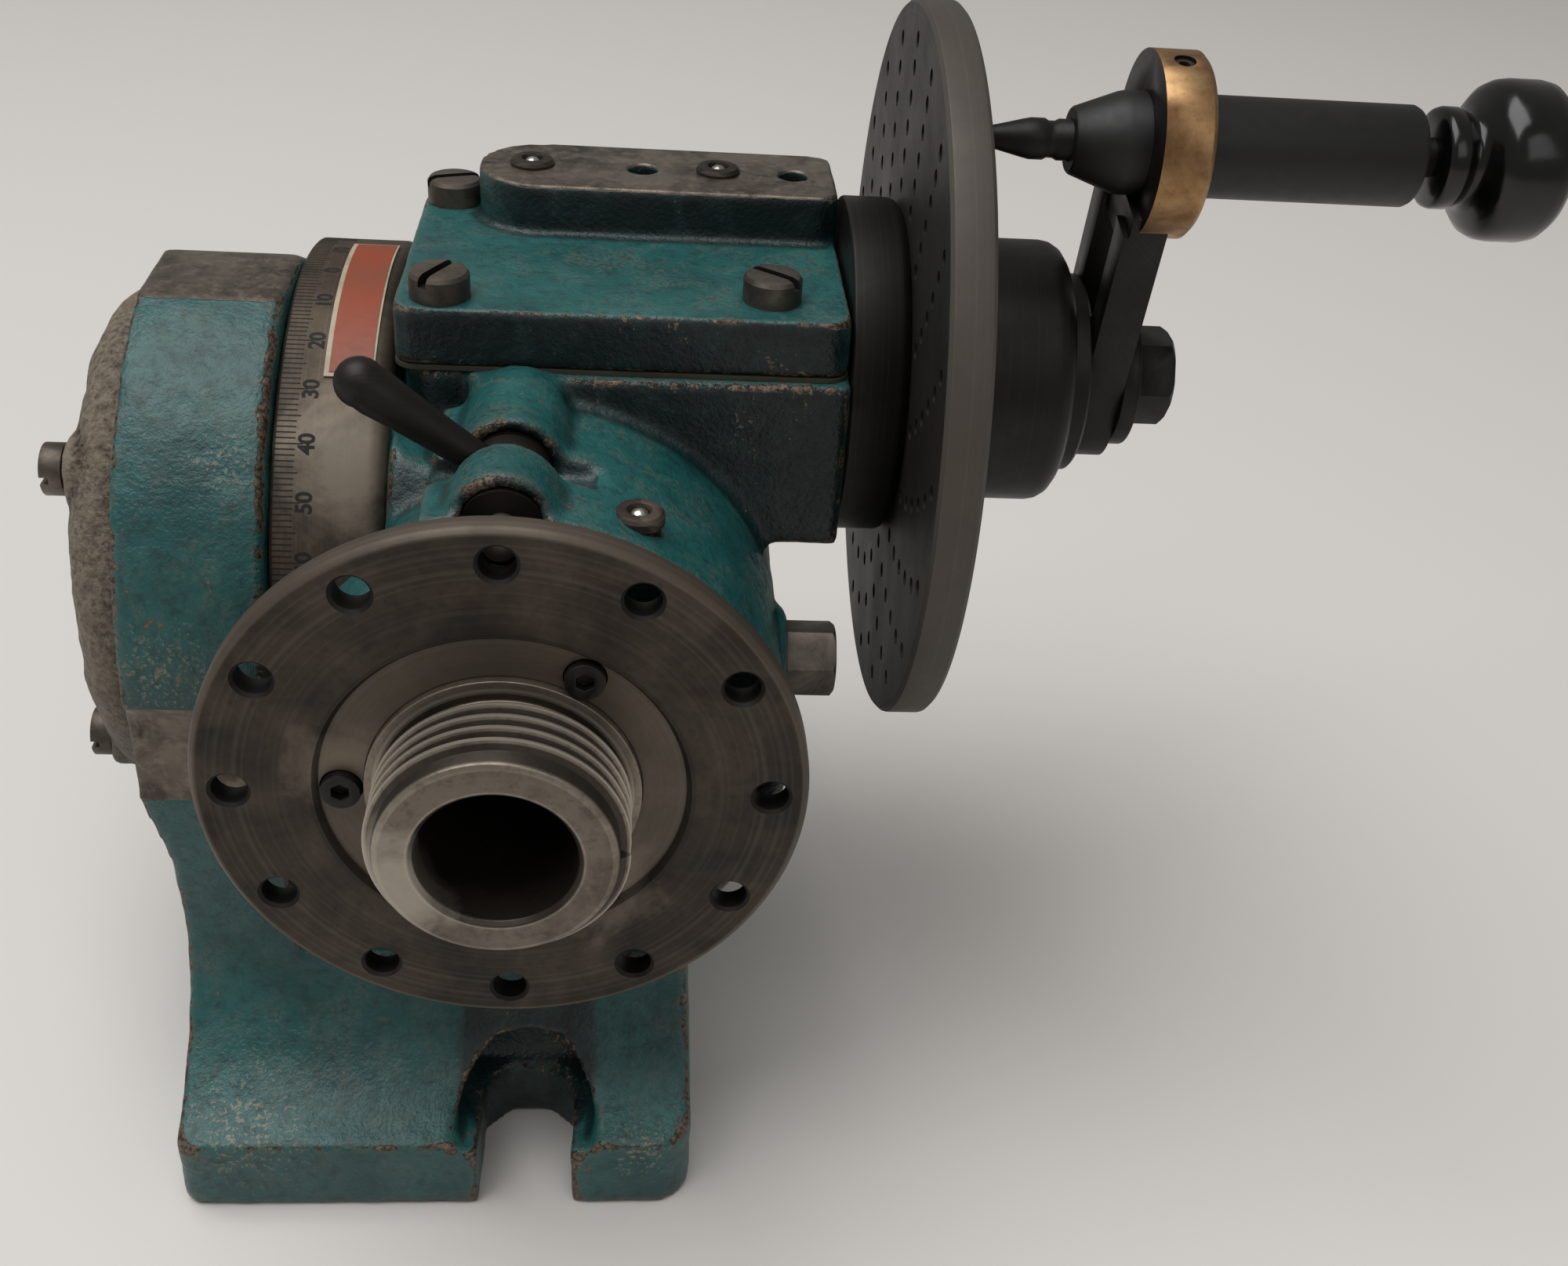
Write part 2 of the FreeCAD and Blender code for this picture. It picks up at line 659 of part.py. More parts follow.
def make_rear_cap_screws():
    out = []
    y0 = body_rear + cap_thick
    for sx, sz in rear_screw_spots():
        screw = cyl_y(2.5, y0 - 17, y0 + 1, sx, sz).fuse(cyl_y(4.2, y0, y0 + 4, sx, sz)).removeSplitter()
        out.append(screw.cut(hexagon(4.0, V(sx, y0 + 1.5, sz), Y_DIR, 4)))
    return Part.makeCompound(out)


def make_rear_bush():
    return tube_y(rear_bush_r, rear_journal_r + run_gap, 14.0, body_rear + cap_thick)


def make_spindle_nut():
    y0 = body_rear + cap_thick + 0.4
    washer_end = 46.0
    nut = hexagon(38.0, V(0, washer_end, 0), Y_DIR, 10.0)
    nut = nut.common(turned_y([(0, 40), (20.5, 40), (21.9, washer_end + 1), (21.9, washer_end + 9),
                               (20.5, washer_end + 10), (0, washer_end + 10)]))
    nut = nut.fuse(cyl_y(20.5, y0, washer_end)).removeSplitter()
    return nut.cut(cyl_y(15.5, washer_end - 0.01, 70)).cut(cyl_y(rear_journal_r, 30, washer_end))


# ---------------------------------------------------------------- worm and wheel
def rack_flank(depth):
    """Half width of a thread or tooth at a given height over its pitch line."""
    return gear_module * math.pi / 4 - backlash / 4 - depth * math.tan(math.radians(20))


def make_worm_wheel():
    outer = wheel_pitch_r + gear_module
    root = wheel_pitch_r - 1.25 * gear_module
    wheel = tube_y(outer, wheel_seat_r + 0.01, -wheel_half, wheel_half)
    wheel = wheel.cut(tube_y(30.0, 26.5, -wheel_half - 1, -wheel_half + 2.5))
    lead = math.atan(gear_module / 2 / worm_pitch_r)
    lean = math.tan(lead)
    # the gap between two teeth, generated as an involute flank of 20 degrees
    base_r = wheel_pitch_r * math.cos(math.radians(20))
    inv20 = math.tan(math.radians(20)) - math.radians(20)
    half_gap = math.pi / (2 * wheel_teeth) + backlash / (4 * wheel_pitch_r)
    flank = []
    steps = 4
    for i in range(steps + 1):
        r = max(base_r, root) + (outer + 0.6 - max(base_r, root)) * i / steps
        p = math.acos(base_r / r)
        inv = math.tan(p) - p
        flank.append((r, half_gap - inv20 + inv))
    pts = [(root, flank[0][1] * 0.9)] + flank
    lean_half = wheel_half + 2
    outline = []
    for r, a in pts:
        outline.append(V(r * math.sin(a), -lean_half, r * math.cos(a)))
    for r, a in reversed(pts):
        outline.append(V(-r * math.sin(a), -lean_half, r * math.cos(a)))
    shift = V(-lean * lean_half * worm_hand, 0, 0)
    tool = polygon_prism(outline, V(2 * lean * lean_half * worm_hand, 2 * lean_half, 0))
    tool.translate(shift)
    tools = []
    for i in range(wheel_teeth):
        t = tool.copy()
        t.rotate(V(0, 0, 0), Y_DIR, 360.0 / wheel_teeth * i)
        tools.append(t)
    wheel = wheel.cut(tools)
    return wheel.cut(key_box(wheel_seat_r - 1.0))


worm_hand = 1.0


left_journal_r = 4.5


def make_worm():
    pitch = math.pi * gear_module
    root = worm_pitch_r - 1.15 * gear_module
    top = worm_pitch_r + gear_module
    core = turned_x([(worm_room_left - 4.6, 0), (worm_room_left - 4.6, left_journal_r),
                     (worm_room_left + 0.4, left_journal_r), (worm_room_left + 0.4, root),
                     (15.0, root), (17.0, worm_journal_r), (81.0, worm_journal_r),
                     (81.0, 6.0), (121.5, 6.0), (121.5, 5.0), (130.6, 5.0), (130.6, 0)], 0, worm_z)
    low = rack_flank(-1.15 * gear_module - 0.15)
    high = rack_flank(gear_module)
    n_turns = 4
    length = n_turns * pitch
    helix = Part.makeHelix(pitch, length, root)
    section = Part.makePolygon([
        V(root - 0.15, 0, -low), V(top, 0, -high), V(top, 0, high), V(root - 0.15, 0, low), V(root - 0.15, 0, -low)])
    thread = Part.Wire(helix).makePipeShell([section], True, True)
    if worm_hand < 0:
        thread = thread.mirror(V(0, 0, 0), Y_DIR)
    # the helix starts at angle 0; turn it so a thread stands in the wheel's gap straight below the axis
    thread.translate(V(0, 0, -length / 2))
    thread.rotate(V(0, 0, 0), Y_DIR, 90)
    thread.translate(V(0, 0, worm_z))
    return core, thread


# ---------------------------------------------------------------- index plate, crank and handle
lean_rad = math.radians(handle_lean)
pin_y = -handle_r * math.sin(lean_rad)
pin_z = worm_z + handle_r * math.cos(lean_rad)
cup_end = 106.0
cup_r = 26.4
arm_x0 = 110.0
arm_x1 = 118.0


def make_left_bush():
    return tube_x(left_bush_r, left_journal_r + run_gap, worm_room_left - 5.0, worm_room_left, 0, worm_z)


def make_hub():
    bore = worm_journal_r + run_gap
    hub = turned_x([
        (worm_room_right, bore), (worm_room_right, worm_bush_r), (box_right, worm_bush_r), (box_right, 33.4), (70.8, 33.4), (index_left, 32.0), (index_left, 18.0),
        (index_right, 18.0), (index_right, bore)], 0, worm_z)
    for sy, sz in hub_screw_spots():
        hub = hub.cut(cyl_x(2.2, 60, 90, sy, sz))
    for a in (45, 165, 285):
        c = round_x(0, 24.5, a)
        hub = hub.cut(cyl_x(1.6, index_left - 8, index_left + 1, c.y, worm_z + c.z))
    return hub


def hub_screw_spots():
    return [(22.5, worm_z), (-22.5, worm_z), (0.0, worm_z - 22.5)]


def make_index_plate():
    plate = tube_x(index_r, 18.0 + 0.01, index_left, index_right, 0, worm_z)
    plate = bevelled(plate, 0.8, lambda e: e.BoundBox.YLength > 130)
    for a in (45, 165, 285):
        c = round_x(0, 24.5, a)
        plate = plate.cut(cyl_x(1.7, index_left - 1, index_right + 1, c.y, worm_z + c.z))
        plate = plate.cut(cyl_x(3.1, index_right - 2.4, index_right + 1, c.y, worm_z + c.z))
    holes = []
    for radius, count in circles:
        for i in range(count):
            a = handle_lean + 360.0 * i / count
            c = round_x(0, radius, a)
            start = V(index_left - 1, c.y, worm_z + c.z)
            holes.append(hexagon(index_hole_r * math.sqrt(3), start, X_DIR, index_right - index_left + 2))
    return plate.cut(holes)


def make_plate_screws():
    out = []
    for a in (45, 165, 285):
        c = round_x(0, 24.5, a)
        y, z = c.y, worm_z + c.z
        head = cyl_x(3.0, index_right - 2.4, index_right - 0.2, y, z)
        out.append(head.fuse(cyl_x(1.6, index_left - 7, index_right - 2.4, y, z)).removeSplitter())
    return Part.makeCompound(out)


def make_clamp_cup():
    """The round sleeve that turns with the crank in front of the index plate."""
    cup = turned_x([
        (index_right + 2.8, worm_journal_r + 6.0), (index_right + 2.8, cup_r), (cup_end - 4.0, cup_r),
        (cup_end - 1.5, cup_r - 1.2), (cup_end, cup_r - 4.2), (cup_end, 0), (81.2, 0), (81.2, worm_journal_r + 6.0)],
        0, worm_z)
    skirt = tube_x(cup_r, cup_r - 4.0, index_right + face_gap, index_right + 4.0, 0, worm_z)
    cup = cup.fuse(skirt).removeSplitter()
    return cup.cut(cyl_x(6.0, 70, 130, 0, worm_z))


def make_spacer():
    return tube_x(20.0, 6.0, cup_end, arm_x0, 0, worm_z)


def tilt_crank(shape):
    shape.rotate(V(0, 0, worm_z), X_DIR, handle_lean)
    return shape


def make_arm():
    """Slotted crank arm, drawn upright and then leaned forward."""
    half = 13.0
    slot_half = 6.05
    foot = -18.0
    top = handle_r - 12.0
    bar = box(arm_x0, arm_x1, -half, half, worm_z + foot + half, worm_z + top)
    bar = bar.fuse(cyl_x(half, arm_x0, arm_x1, 0, worm_z + foot + half)).removeSplitter()
    slot = box(arm_x0 - 1, arm_x1 + 1, -slot_half, slot_half, worm_z - 9, worm_z + top - 3)
    slot = slot.fuse(cyl_x(slot_half, arm_x0 - 1, arm_x1 + 1, 0, worm_z - 9))
    slot = slot.fuse(cyl_x(slot_half, arm_x0 - 1, arm_x1 + 1, 0, worm_z + top - 3))
    arm = bar.cut(slot)
    eye = cyl_x(16.8, arm_x0 + 2.5, 122.0, 0, worm_z + handle_r)
    neck = box(arm_x0 + 1, arm_x1, -half, half, worm_z + top - 5, worm_z + handle_r - 8)
    arm = arm.fuse(neck).fuse(eye).removeSplitter()
    arm = bevelled(arm, 0.9, lambda e: abs(e.BoundBox.XMin - 122.0) < 0.01)
    arm = arm.cut(cyl_x(9.3, 100, 130, 0, worm_z + handle_r))
    arm = arm.cut(cyl_z(2.0, worm_z + handle_r + 5, worm_z + handle_r + 20, 117.0, 0))
    return tilt_crank(arm)


def make_grub_screw():
    top = worm_z + handle_r + 16.0
    screw = cyl_z(2.0, worm_z + handle_r + 9.3, top, 117.0, 0)
    screw = screw.cut(hexagon(2.0, V(117.0, 0, top - 2), Z_DIR, 3))
    screw = screw.cut(cyl_x(9.3, 100, 130, 0, worm_z + handle_r))
    return tilt_crank(screw)


def make_arm_washer():
    return tube_x(14.4, 6.0, arm_x1, 121.5, 0, worm_z)


def make_arm_nut():
    nut = hexagon(17.5, V(121.5, 0, worm_z), X_DIR, 8.4, 30)
    nut = nut.common(turned_x([(121.5, 0), (121.5, 10.1), (129, 10.1), (129.9, 9.0), (129.9, 0)], 0, worm_z))
    return nut.cut(cyl_x(5.0, 120, 135, 0, worm_z))


barrel_end = 164.4
pin_run = 2.6 + run_gap


def make_barrel():
    """Collet and barrel of the handle in one turned piece, held in the eye of the crank."""
    barrel = turned_x([(99.4, 0), (99.4, 6.0), (102.5, 8.2), (108.0, 9.3), (113.9, 9.3), (122.0, 9.25),
                       (barrel_end - 1.0, 9.25), (barrel_end, 8.6), (barrel_end, 0)], pin_y, pin_z)
    bore = turned_x([(90, 0), (90, 3.8), (116, 3.8), (116, 6.6), (barrel_end - 12, 6.6), (barrel_end - 12, 3.7),
                     (170, 3.7), (170, 0)], pin_y, pin_z)
    return barrel.cut(bore)


def make_index_pin():
    tip = index_right + 0.3
    pin = turned_x([
        (tip, 0), (tip, 1.35), (tip + 1.5, 1.5), (92.0, 3.72), (117.0, 3.72), (117.0, 6.4), (121.0, 6.4),
        (121.0, 3.62), (176.0, 3.62), (176.0, 0)], pin_y, pin_z)
    return pin


def make_knob():
    knob = turned_x([
        (168.0, 3.62), (168.0, 8.0), (168.8, 8.6), (175.0, 8.6), (176.0, 9.0), (176.6, 13.5), (178.5, 15.4),
        (181.5, 16.0), (186.5, 16.0), (189.6, 15.0), (191.4, 12.8), (192.0, 10.0), (192.0, 0), (176.0, 0),
        (176.0, 3.62)], pin_y, pin_z)
    return knob


def coil(x_axis, start, length, radius, wire_r, turns, y, z):
    helix = Part.makeHelix(length / turns, length, radius)
    w = wire_r * 1.2
    ring = Part.makePolygon([V(radius - w, 0, 0), V(radius, 0, -w), V(radius + w, 0, 0), V(radius, 0, w),
                             V(radius - w, 0, 0)])
    spring = Part.Wire(helix).makePipeShell([ring], True, True)
    if x_axis:
        spring.rotate(V(0, 0, 0), Y_DIR, 90)
        spring.translate(V(start, y, z))
    else:
        spring.rotate(V(0, 0, 0), X_DIR, -90)
        spring.translate(V(0, start, z))
    return spring


def make_pin_spring():
    return coil(True, 121.0 + 0.8, barrel_end - 12 - 121.0 - 1.6, 5.1, 0.6, 4, pin_y, pin_z)


# ---------------------------------------------------------------- direct plunger, its lever, spindle lock
def make_plunger():
    """Drawn back, its point just clear of the direct plate."""
    tip = plate_back + 0.4
    return turned_y([
        (0, tip), (2.3, tip), (plunger_r, tip + 1.4), (plunger_r, -60.6), (4.5, -60.6), (4.5, -58.4),
        (plunger_r, -58.4), (plunger_r, plunger_back), (0, plunger_back)], 0, plunger_z)


def make_guides():
    front = tube_y(guide_r, plunger_r + run_gap, -75.5, lever_front - 0.15, 0, plunger_z)
    rear = tube_y(guide_r, plunger_r + run_gap, lever_back + 0.15, -36.0, 0, plunger_z)
    rear = rear.cut(cyl_y(4.7, -56, -44.0, 0, plunger_z))
    return Part.makeCompound([front, rear])


def make_lever():
    hub = tube_y(guide_r - 0.06, 4.5 + run_gap, lever_front, lever_back, 0, plunger_z)
    mid = (lever_front + lever_back) / 2
    out = V(math.cos(math.radians(144)), 0, math.sin(math.radians(144)))
    start = V(0, mid, plunger_z) + out * 6.2
    finger = Part.makeCone(3.0, 4.35, 23.5, start, out)
    tip = Part.makeSphere(4.35, start + out * 23.5)
    lever = hub.fuse(finger).fuse(tip).removeSplitter()
    return lever.cut(cyl_y(4.5 + run_gap, lever_front - 1, lever_back + 1, 0, plunger_z))


def make_plunger_spring():
    return coil(False, -58.4 + 0.6, 13.2, 3.85, 0.45, 4, 0, plunger_z)


def make_lock_bolt():
    shank = cyl_x(3.0, 42.0, 52.0, lock_y, 0)
    head = hexagon(13.0, V(51.4, lock_y, 0), X_DIR, 9.6, 15)
    head = head.common(turned_x([(51.4, 0), (51.4, 7.6), (60.2, 7.6), (61.0, 6.6), (61.0, 0)], lock_y, 0))
    return shank.fuse(head).removeSplitter()


def make_lock_pad():
    pad = cyl_x(4.0, front_journal_r - 1, 42.0, lock_y, 0)
    return pad.cut(cyl_y(front_journal_r + 0.1, -60, -30))


# ---------------------------------------------------------------- build
def build():
    save("base_casting", make_base())
    save("swivel_drum", make_drum())
    save("drum_bolts", make_drum_bolts())
    save("end_cap", make_end_cap())
    save("end_cap_screws", make_end_cap_screws())
    save("name_plate", make_name_plate())
    save("head_casting", make_head())
    save("cover_gasket", make_gasket())
    save("worm_cover", make_cover())
    save("cover_screws", make_cover_screws())
    save("ball_oilers", make_ball_oilers())
    save("pad_screws", make_pad_screws())
    save("front_bush", make_front_bush())
    save("rear_cap", make_rear_cap())
    save("rear_cap_screws", make_rear_cap_screws())
    save("rear_bush", make_rear_bush())
    save("spindle", make_spindle())
    save("direct_plate", make_direct_plate())
    save("direct_plate_screws", make_direct_plate_screws())
    save("spindle_nut", make_spindle_nut())
    save("worm_wheel", make_worm_wheel())
    save("wheel_key", key_box(wheel_seat_r - 3.0, wheel_seat_r + 2.9))
    core, thread = make_worm()
    save("worm_shaft", core.fuse(thread).removeSplitter())
    save("worm_left_bush", make_left_bush())
    save("index_hub", make_hub())
    save("index_plate", make_index_plate())
    save("index_plate_screws", make_plate_screws())
    save("clamp_cup", make_clamp_cup())
    save("spacer_disc", make_spacer())
    save("crank_arm", make_arm())
    save("eye_grub_screw", make_grub_screw())
    save("crank_washer", make_arm_washer())
    save("crank_nut", make_arm_nut())
    save("handle_barrel", make_barrel())
    save("index_pin", make_index_pin())
    save("pin_knob", make_knob())
    save("pin_spring", make_pin_spring())
    save("direct_plunger", make_plunger())
    save("plunger_guides", make_guides())
    save("plunger_lever", make_lever())
    save("plunger_spring", make_plunger_spring())
    save("lock_bolt", make_lock_bolt())
    save("lock_pad", make_lock_pad())


build()
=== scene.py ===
"""Looks of a tilting dividing head: cast housings in old teal enamel, worn bare steel, an index plate and its crank."""

from __future__ import annotations

import logging
import math
from dataclasses import dataclass, field
from enum import Enum
from typing import Any

import bmesh
import bpy
import numpy as np
from mathutils import Matrix, Vector, noise


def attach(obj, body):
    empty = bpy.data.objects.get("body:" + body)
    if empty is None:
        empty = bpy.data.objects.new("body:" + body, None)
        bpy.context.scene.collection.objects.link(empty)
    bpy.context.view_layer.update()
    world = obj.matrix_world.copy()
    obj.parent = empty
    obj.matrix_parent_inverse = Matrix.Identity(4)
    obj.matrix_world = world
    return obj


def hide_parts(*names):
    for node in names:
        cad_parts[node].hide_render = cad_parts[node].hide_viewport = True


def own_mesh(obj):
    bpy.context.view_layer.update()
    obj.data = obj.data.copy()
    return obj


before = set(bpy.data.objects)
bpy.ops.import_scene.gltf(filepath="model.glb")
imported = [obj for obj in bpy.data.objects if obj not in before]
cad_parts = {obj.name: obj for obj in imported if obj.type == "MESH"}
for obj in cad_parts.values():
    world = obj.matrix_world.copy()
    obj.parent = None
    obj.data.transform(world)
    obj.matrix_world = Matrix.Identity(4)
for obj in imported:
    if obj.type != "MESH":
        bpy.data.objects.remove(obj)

log = logging.getLogger("dividing_head")
MM = 0.001
CENTRE = 101.6  # height of the spindle over the underside, mm
WORM_Z = 43.4  # height of the worm over the spindle, mm
FULL = 2.0 * math.pi


class Line(Enum):
    """The lines that pieces are turned about."""

    X = "x"
    Y = "y"
    Z = "z"


class Wear(Enum):
    """How far a steel surface has gone since it was machined."""

    OILED = "oiled"
    DARK = "dark"
    HANDLED = "handled"


# ------------------------------------------------------------------ materials
def linear(code: str) -> tuple[float, float, float, float]:
    """Turns an sRGB hex colour to linear.

    Args:
        code: Six hex digits, with or without a leading #.

    Returns:
        Linear red, green, blue and an alpha of 1.
    """
    code = code.lstrip("#")
    out = []
    for i in (0, 2, 4):
        c = int(code[i : i + 2], 16) / 255.0
        out.append(c / 12.92 if c <= 0.04045 else ((c + 0.055) / 1.055) ** 2.4)
    return (out[0], out[1], out[2], 1.0)


def per_mm(size: float) -> float:
    """Gives the texture scale at which one feature of a pattern is size millimetres wide."""
    return 1.0 / (size * MM)


def add(tree: bpy.types.NodeTree, kind: str, settings: dict[str, Any] | None = None, **sockets: Any) -> bpy.types.Node:
    """Adds one node with its settings, values and links.

    Args:
        tree: The material's node tree.
        kind: The node's type name.
        settings: Attributes to set on the node.
        sockets: Values or output sockets by input name, with _ for a space, or in0, in1 by place.

    Returns:
        The new node.
    """
    node = tree.nodes.new(kind)
    for key, value in (settings or {}).items():
        setattr(node, key, value)
    for key, value in sockets.items():
        socket = node.inputs[int(key[2:])] if key.startswith("in") and key[2:].isdigit() else node.inputs[key.replace("_", " ")]
        if isinstance(value, bpy.types.NodeSocket):
            tree.links.new(value, socket)
        else:
            socket.default_value = value
    return node


def ramp(tree: bpy.types.NodeTree, value: bpy.types.NodeSocket, low: float, high: float) -> bpy.types.NodeSocket:
    """Stretches a value so that low becomes 0 and high becomes 1, held between them."""
    node = add(tree, "ShaderNodeMapRange", {"clamp": True}, Value=value)
    node.inputs["From Min"].default_value = low
    node.inputs["From Max"].default_value = high
    return node.outputs["Result"]


def blended(tree: bpy.types.NodeTree, how: str, factor: Any, first: Any, second: Any) -> bpy.types.NodeSocket:
    """Mixes two colours by a factor and gives the result."""
    node = add(tree, "ShaderNodeMix", {"data_type": "RGBA", "blend_type": how})
    for index, value in ((0, factor), (6, first), (7, second)):
        if isinstance(value, bpy.types.NodeSocket):
            tree.links.new(value, node.inputs[index])
        else:
            node.inputs[index].default_value = value
    return node.outputs[2]


def calc(tree: bpy.types.NodeTree, how: str, first: Any, second: Any = 0.0) -> bpy.types.NodeSocket:
    """Works out one sum between two numbers."""
    return add(tree, "ShaderNodeMath", {"operation": how, "use_clamp": False}, in0=first, in1=second).outputs[0]


@dataclass(frozen=True)
class Finish:
    """A finish: its name, and the look of the surface that it gives."""

    name: str

    def material(self) -> bpy.types.Material:
        """Makes the material once and gives it again after that."""
        known = bpy.data.materials.get(self.name)
        if known:
            return known
        mat = bpy.data.materials.new(self.name)
        mat.use_nodes = True
        tree = mat.node_tree
        tree.nodes.clear()
        shader = add(tree, "ShaderNodeBsdfPrincipled")
        out = add(tree, "ShaderNodeOutputMaterial")
        tree.links.new(shader.outputs[0], out.inputs[0])
        place = add(tree, "ShaderNodeTexCoord").outputs["Object"]
        self.dress(tree, shader, place)
        return mat

    def dress(self, tree: bpy.types.NodeTree, shader: bpy.types.Node, place: bpy.types.NodeSocket) -> None:
        """Fills in the shader's colour, roughness and bump."""
        raise NotImplementedError


@dataclass(frozen=True)
class CastEnamel(Finish):
    """Old brushed enamel over sand-cast iron: dull gloss, the mould's grain, dust and grime, painted shade in creases
    and on shaded faces, chips down to rusty iron.
    """

    paint: str = "144a4a"
    light: str = "286361"
    deep: str = "08242a"
    # The colour of settled dust; it also paints the paler edge line, which is partly a painted highlight.
    dust: str = "7d7a6a"
    # The colour of grime and of the painted shade in creases and on shaded faces.
    soot: str = "0b1012"
    iron: str = "75685a"
    rust: str = "3a2a20"
    bare: str = "6e655a"
    chipped: float = 0.0
    scuffs: tuple[tuple[float, float, float, float], ...] = ()

    def dress(self, tree: bpy.types.NodeTree, shader: bpy.types.Node, place: bpy.types.NodeSocket) -> None:
        """Paint, then dust, a paler edge line that is partly a painted highlight, grime and painted shade, then chips,
        then the machined flats.
        """
        edge, bare, sooty = (add(tree, "ShaderNodeAttribute", {"attribute_name": n}).outputs["Fac"] for n in ("edge", "bare", "soot"))
        broad = add(tree, "ShaderNodeTexNoise", Vector=place, Scale=per_mm(24), Detail=4.0, Roughness=0.55).outputs[0]
        patch = add(tree, "ShaderNodeTexNoise", Vector=place, Scale=per_mm(9), Detail=8.0, Roughness=0.68, Distortion=0.5).outputs[0]
        fine = add(tree, "ShaderNodeTexNoise", Vector=place, Scale=per_mm(2.4), Detail=6.0, Roughness=0.65).outputs[0]
        grit = add(tree, "ShaderNodeTexNoise", Vector=place, Scale=per_mm(0.9), Detail=3.0, Roughness=0.6).outputs[0]
        colour = blended(tree, "MIX", ramp(tree, broad, 0.34, 0.66), linear(self.paint), linear(self.light))
        colour = blended(tree, "MIX", calc(tree, "MULTIPLY", ramp(tree, fine, 0.48, 0.75), 0.75), colour, linear(self.deep))
        settled = calc(tree, "MULTIPLY", ramp(tree, patch, 0.48, 0.68), ramp(tree, grit, 0.38, 0.62))
        colour = blended(tree, "MIX", calc(tree, "MULTIPLY", settled, 0.34), colour, linear(self.dust))
        # Paler along convex edges: partly paint rubbed thin, partly a painted highlight.
        thin_paint_and_highlight = calc(tree, "MULTIPLY", ramp(tree, edge, 0.35, 1.0), ramp(tree, fine, 0.4, 0.6))
        colour = blended(tree, "MIX", calc(tree, "MULTIPLY", thin_paint_and_highlight, 0.45), colour, linear(self.dust))
        # Painted shade: darker in creases and hollows, and where the attribute marks shaded faces and pits; random dark
        # grime mottling goes on top.
        crease_shade = calc(tree, "MULTIPLY", ramp(tree, calc(tree, "MULTIPLY", edge, -1.0), 0.05, 0.5), 0.75)
        shade_and_grime = calc(tree, "MAXIMUM", crease_shade, calc(tree, "MULTIPLY", sooty, calc(tree, "ADD", calc(tree, "MULTIPLY", ramp(tree, patch, 0.7, 0.4), 0.3), 0.74)))
        shade_and_grime = calc(tree, "MINIMUM", calc(tree, "MAXIMUM", shade_and_grime, calc(tree, "MULTIPLY", ramp(tree, patch, 0.6, 0.75), 0.5)), 0.94)
        colour = blended(tree, "MIX", shade_and_grime, colour, linear(self.soot))
        worn = calc(tree, "ADD", calc(tree, "MULTIPLY", ramp(tree, edge, 0.0, 1.0), 0.5), calc(tree, "MULTIPLY", patch, 0.6))
        worn = calc(tree, "ADD", calc(tree, "ADD", worn, calc(tree, "MULTIPLY", fine, 0.4)), self.chipped)
        flake = calc(tree, "ADD", calc(tree, "MULTIPLY", patch, 0.5), calc(tree, "MULTIPLY", grit, 0.5))
        flake = calc(tree, "ADD", flake, calc(tree, "MULTIPLY", ramp(tree, broad, 0.5, 0.7), 0.09))
        flake = ramp(tree, calc(tree, "ADD", flake, calc(tree, "MULTIPLY", ramp(tree, edge, 0.2, 1.0), 0.05)), 0.64, 0.66)
        for x, y, z, size in self.scuffs:
            away = add(tree, "ShaderNodeVectorMath", {"operation": "DISTANCE"}, in0=place, in1=(x * MM, y * MM, z * MM)).outputs["Value"]
            near = ramp(tree, away, size * MM, size * 0.2 * MM)
            scuff = ramp(tree, calc(tree, "ADD", grit, calc(tree, "MULTIPLY", near, 0.13)), 0.66, 0.71)
            colour = blended(tree, "MIX", calc(tree, "MULTIPLY", scuff, calc(tree, "MULTIPLY", near, 0.7)), colour, linear("8a8573"))
        chip = calc(tree, "MAXIMUM", ramp(tree, worn, 0.945, 0.975), flake)
        iron = blended(tree, "MIX", ramp(tree, grit, 0.4, 0.66), linear(self.rust), linear(self.iron))
        colour = blended(tree, "MIX", chip, colour, iron)
        smooth = ramp(tree, calc(tree, "ADD", bare, calc(tree, "MULTIPLY", calc(tree, "SUBTRACT", patch, 0.5), 0.9)), 0.42, 0.5)
        steel = blended(tree, "MIX", ramp(tree, patch, 0.4, 0.64), linear(self.bare), linear("3b342d"))
        steel = blended(tree, "MIX", calc(tree, "MULTIPLY", ramp(tree, fine, 0.5, 0.72), 0.6), steel, linear("8a8072"))
        colour = blended(tree, "MIX", smooth, colour, steel)
        metal = calc(tree, "MAXIMUM", calc(tree, "MULTIPLY", chip, 0.35), calc(tree, "MULTIPLY", smooth, 0.55))
        rough = calc(tree, "ADD", calc(tree, "MULTIPLY", fine, 0.4), 0.17)
        rough = calc(tree, "ADD", rough, calc(tree, "MULTIPLY", settled, 0.2))
        height = calc(tree, "ADD", calc(tree, "MULTIPLY", grit, 0.4), calc(tree, "MULTIPLY", patch, 0.5))
        height = calc(tree, "SUBTRACT", height, calc(tree, "MULTIPLY", chip, 0.4))
        height = calc(tree, "MULTIPLY", height, calc(tree, "SUBTRACT", 1.0, calc(tree, "MULTIPLY", smooth, 0.85)))
        bump = add(tree, "ShaderNodeBump", Height=height, Strength=0.85, Distance=0.7 * MM)
        tree.links.new(colour, shader.inputs["Base Color"])
        tree.links.new(rough, shader.inputs["Roughness"])
        tree.links.new(metal, shader.inputs["Metallic"])
        tree.links.new(bump.outputs[0], shader.inputs["Normal"])


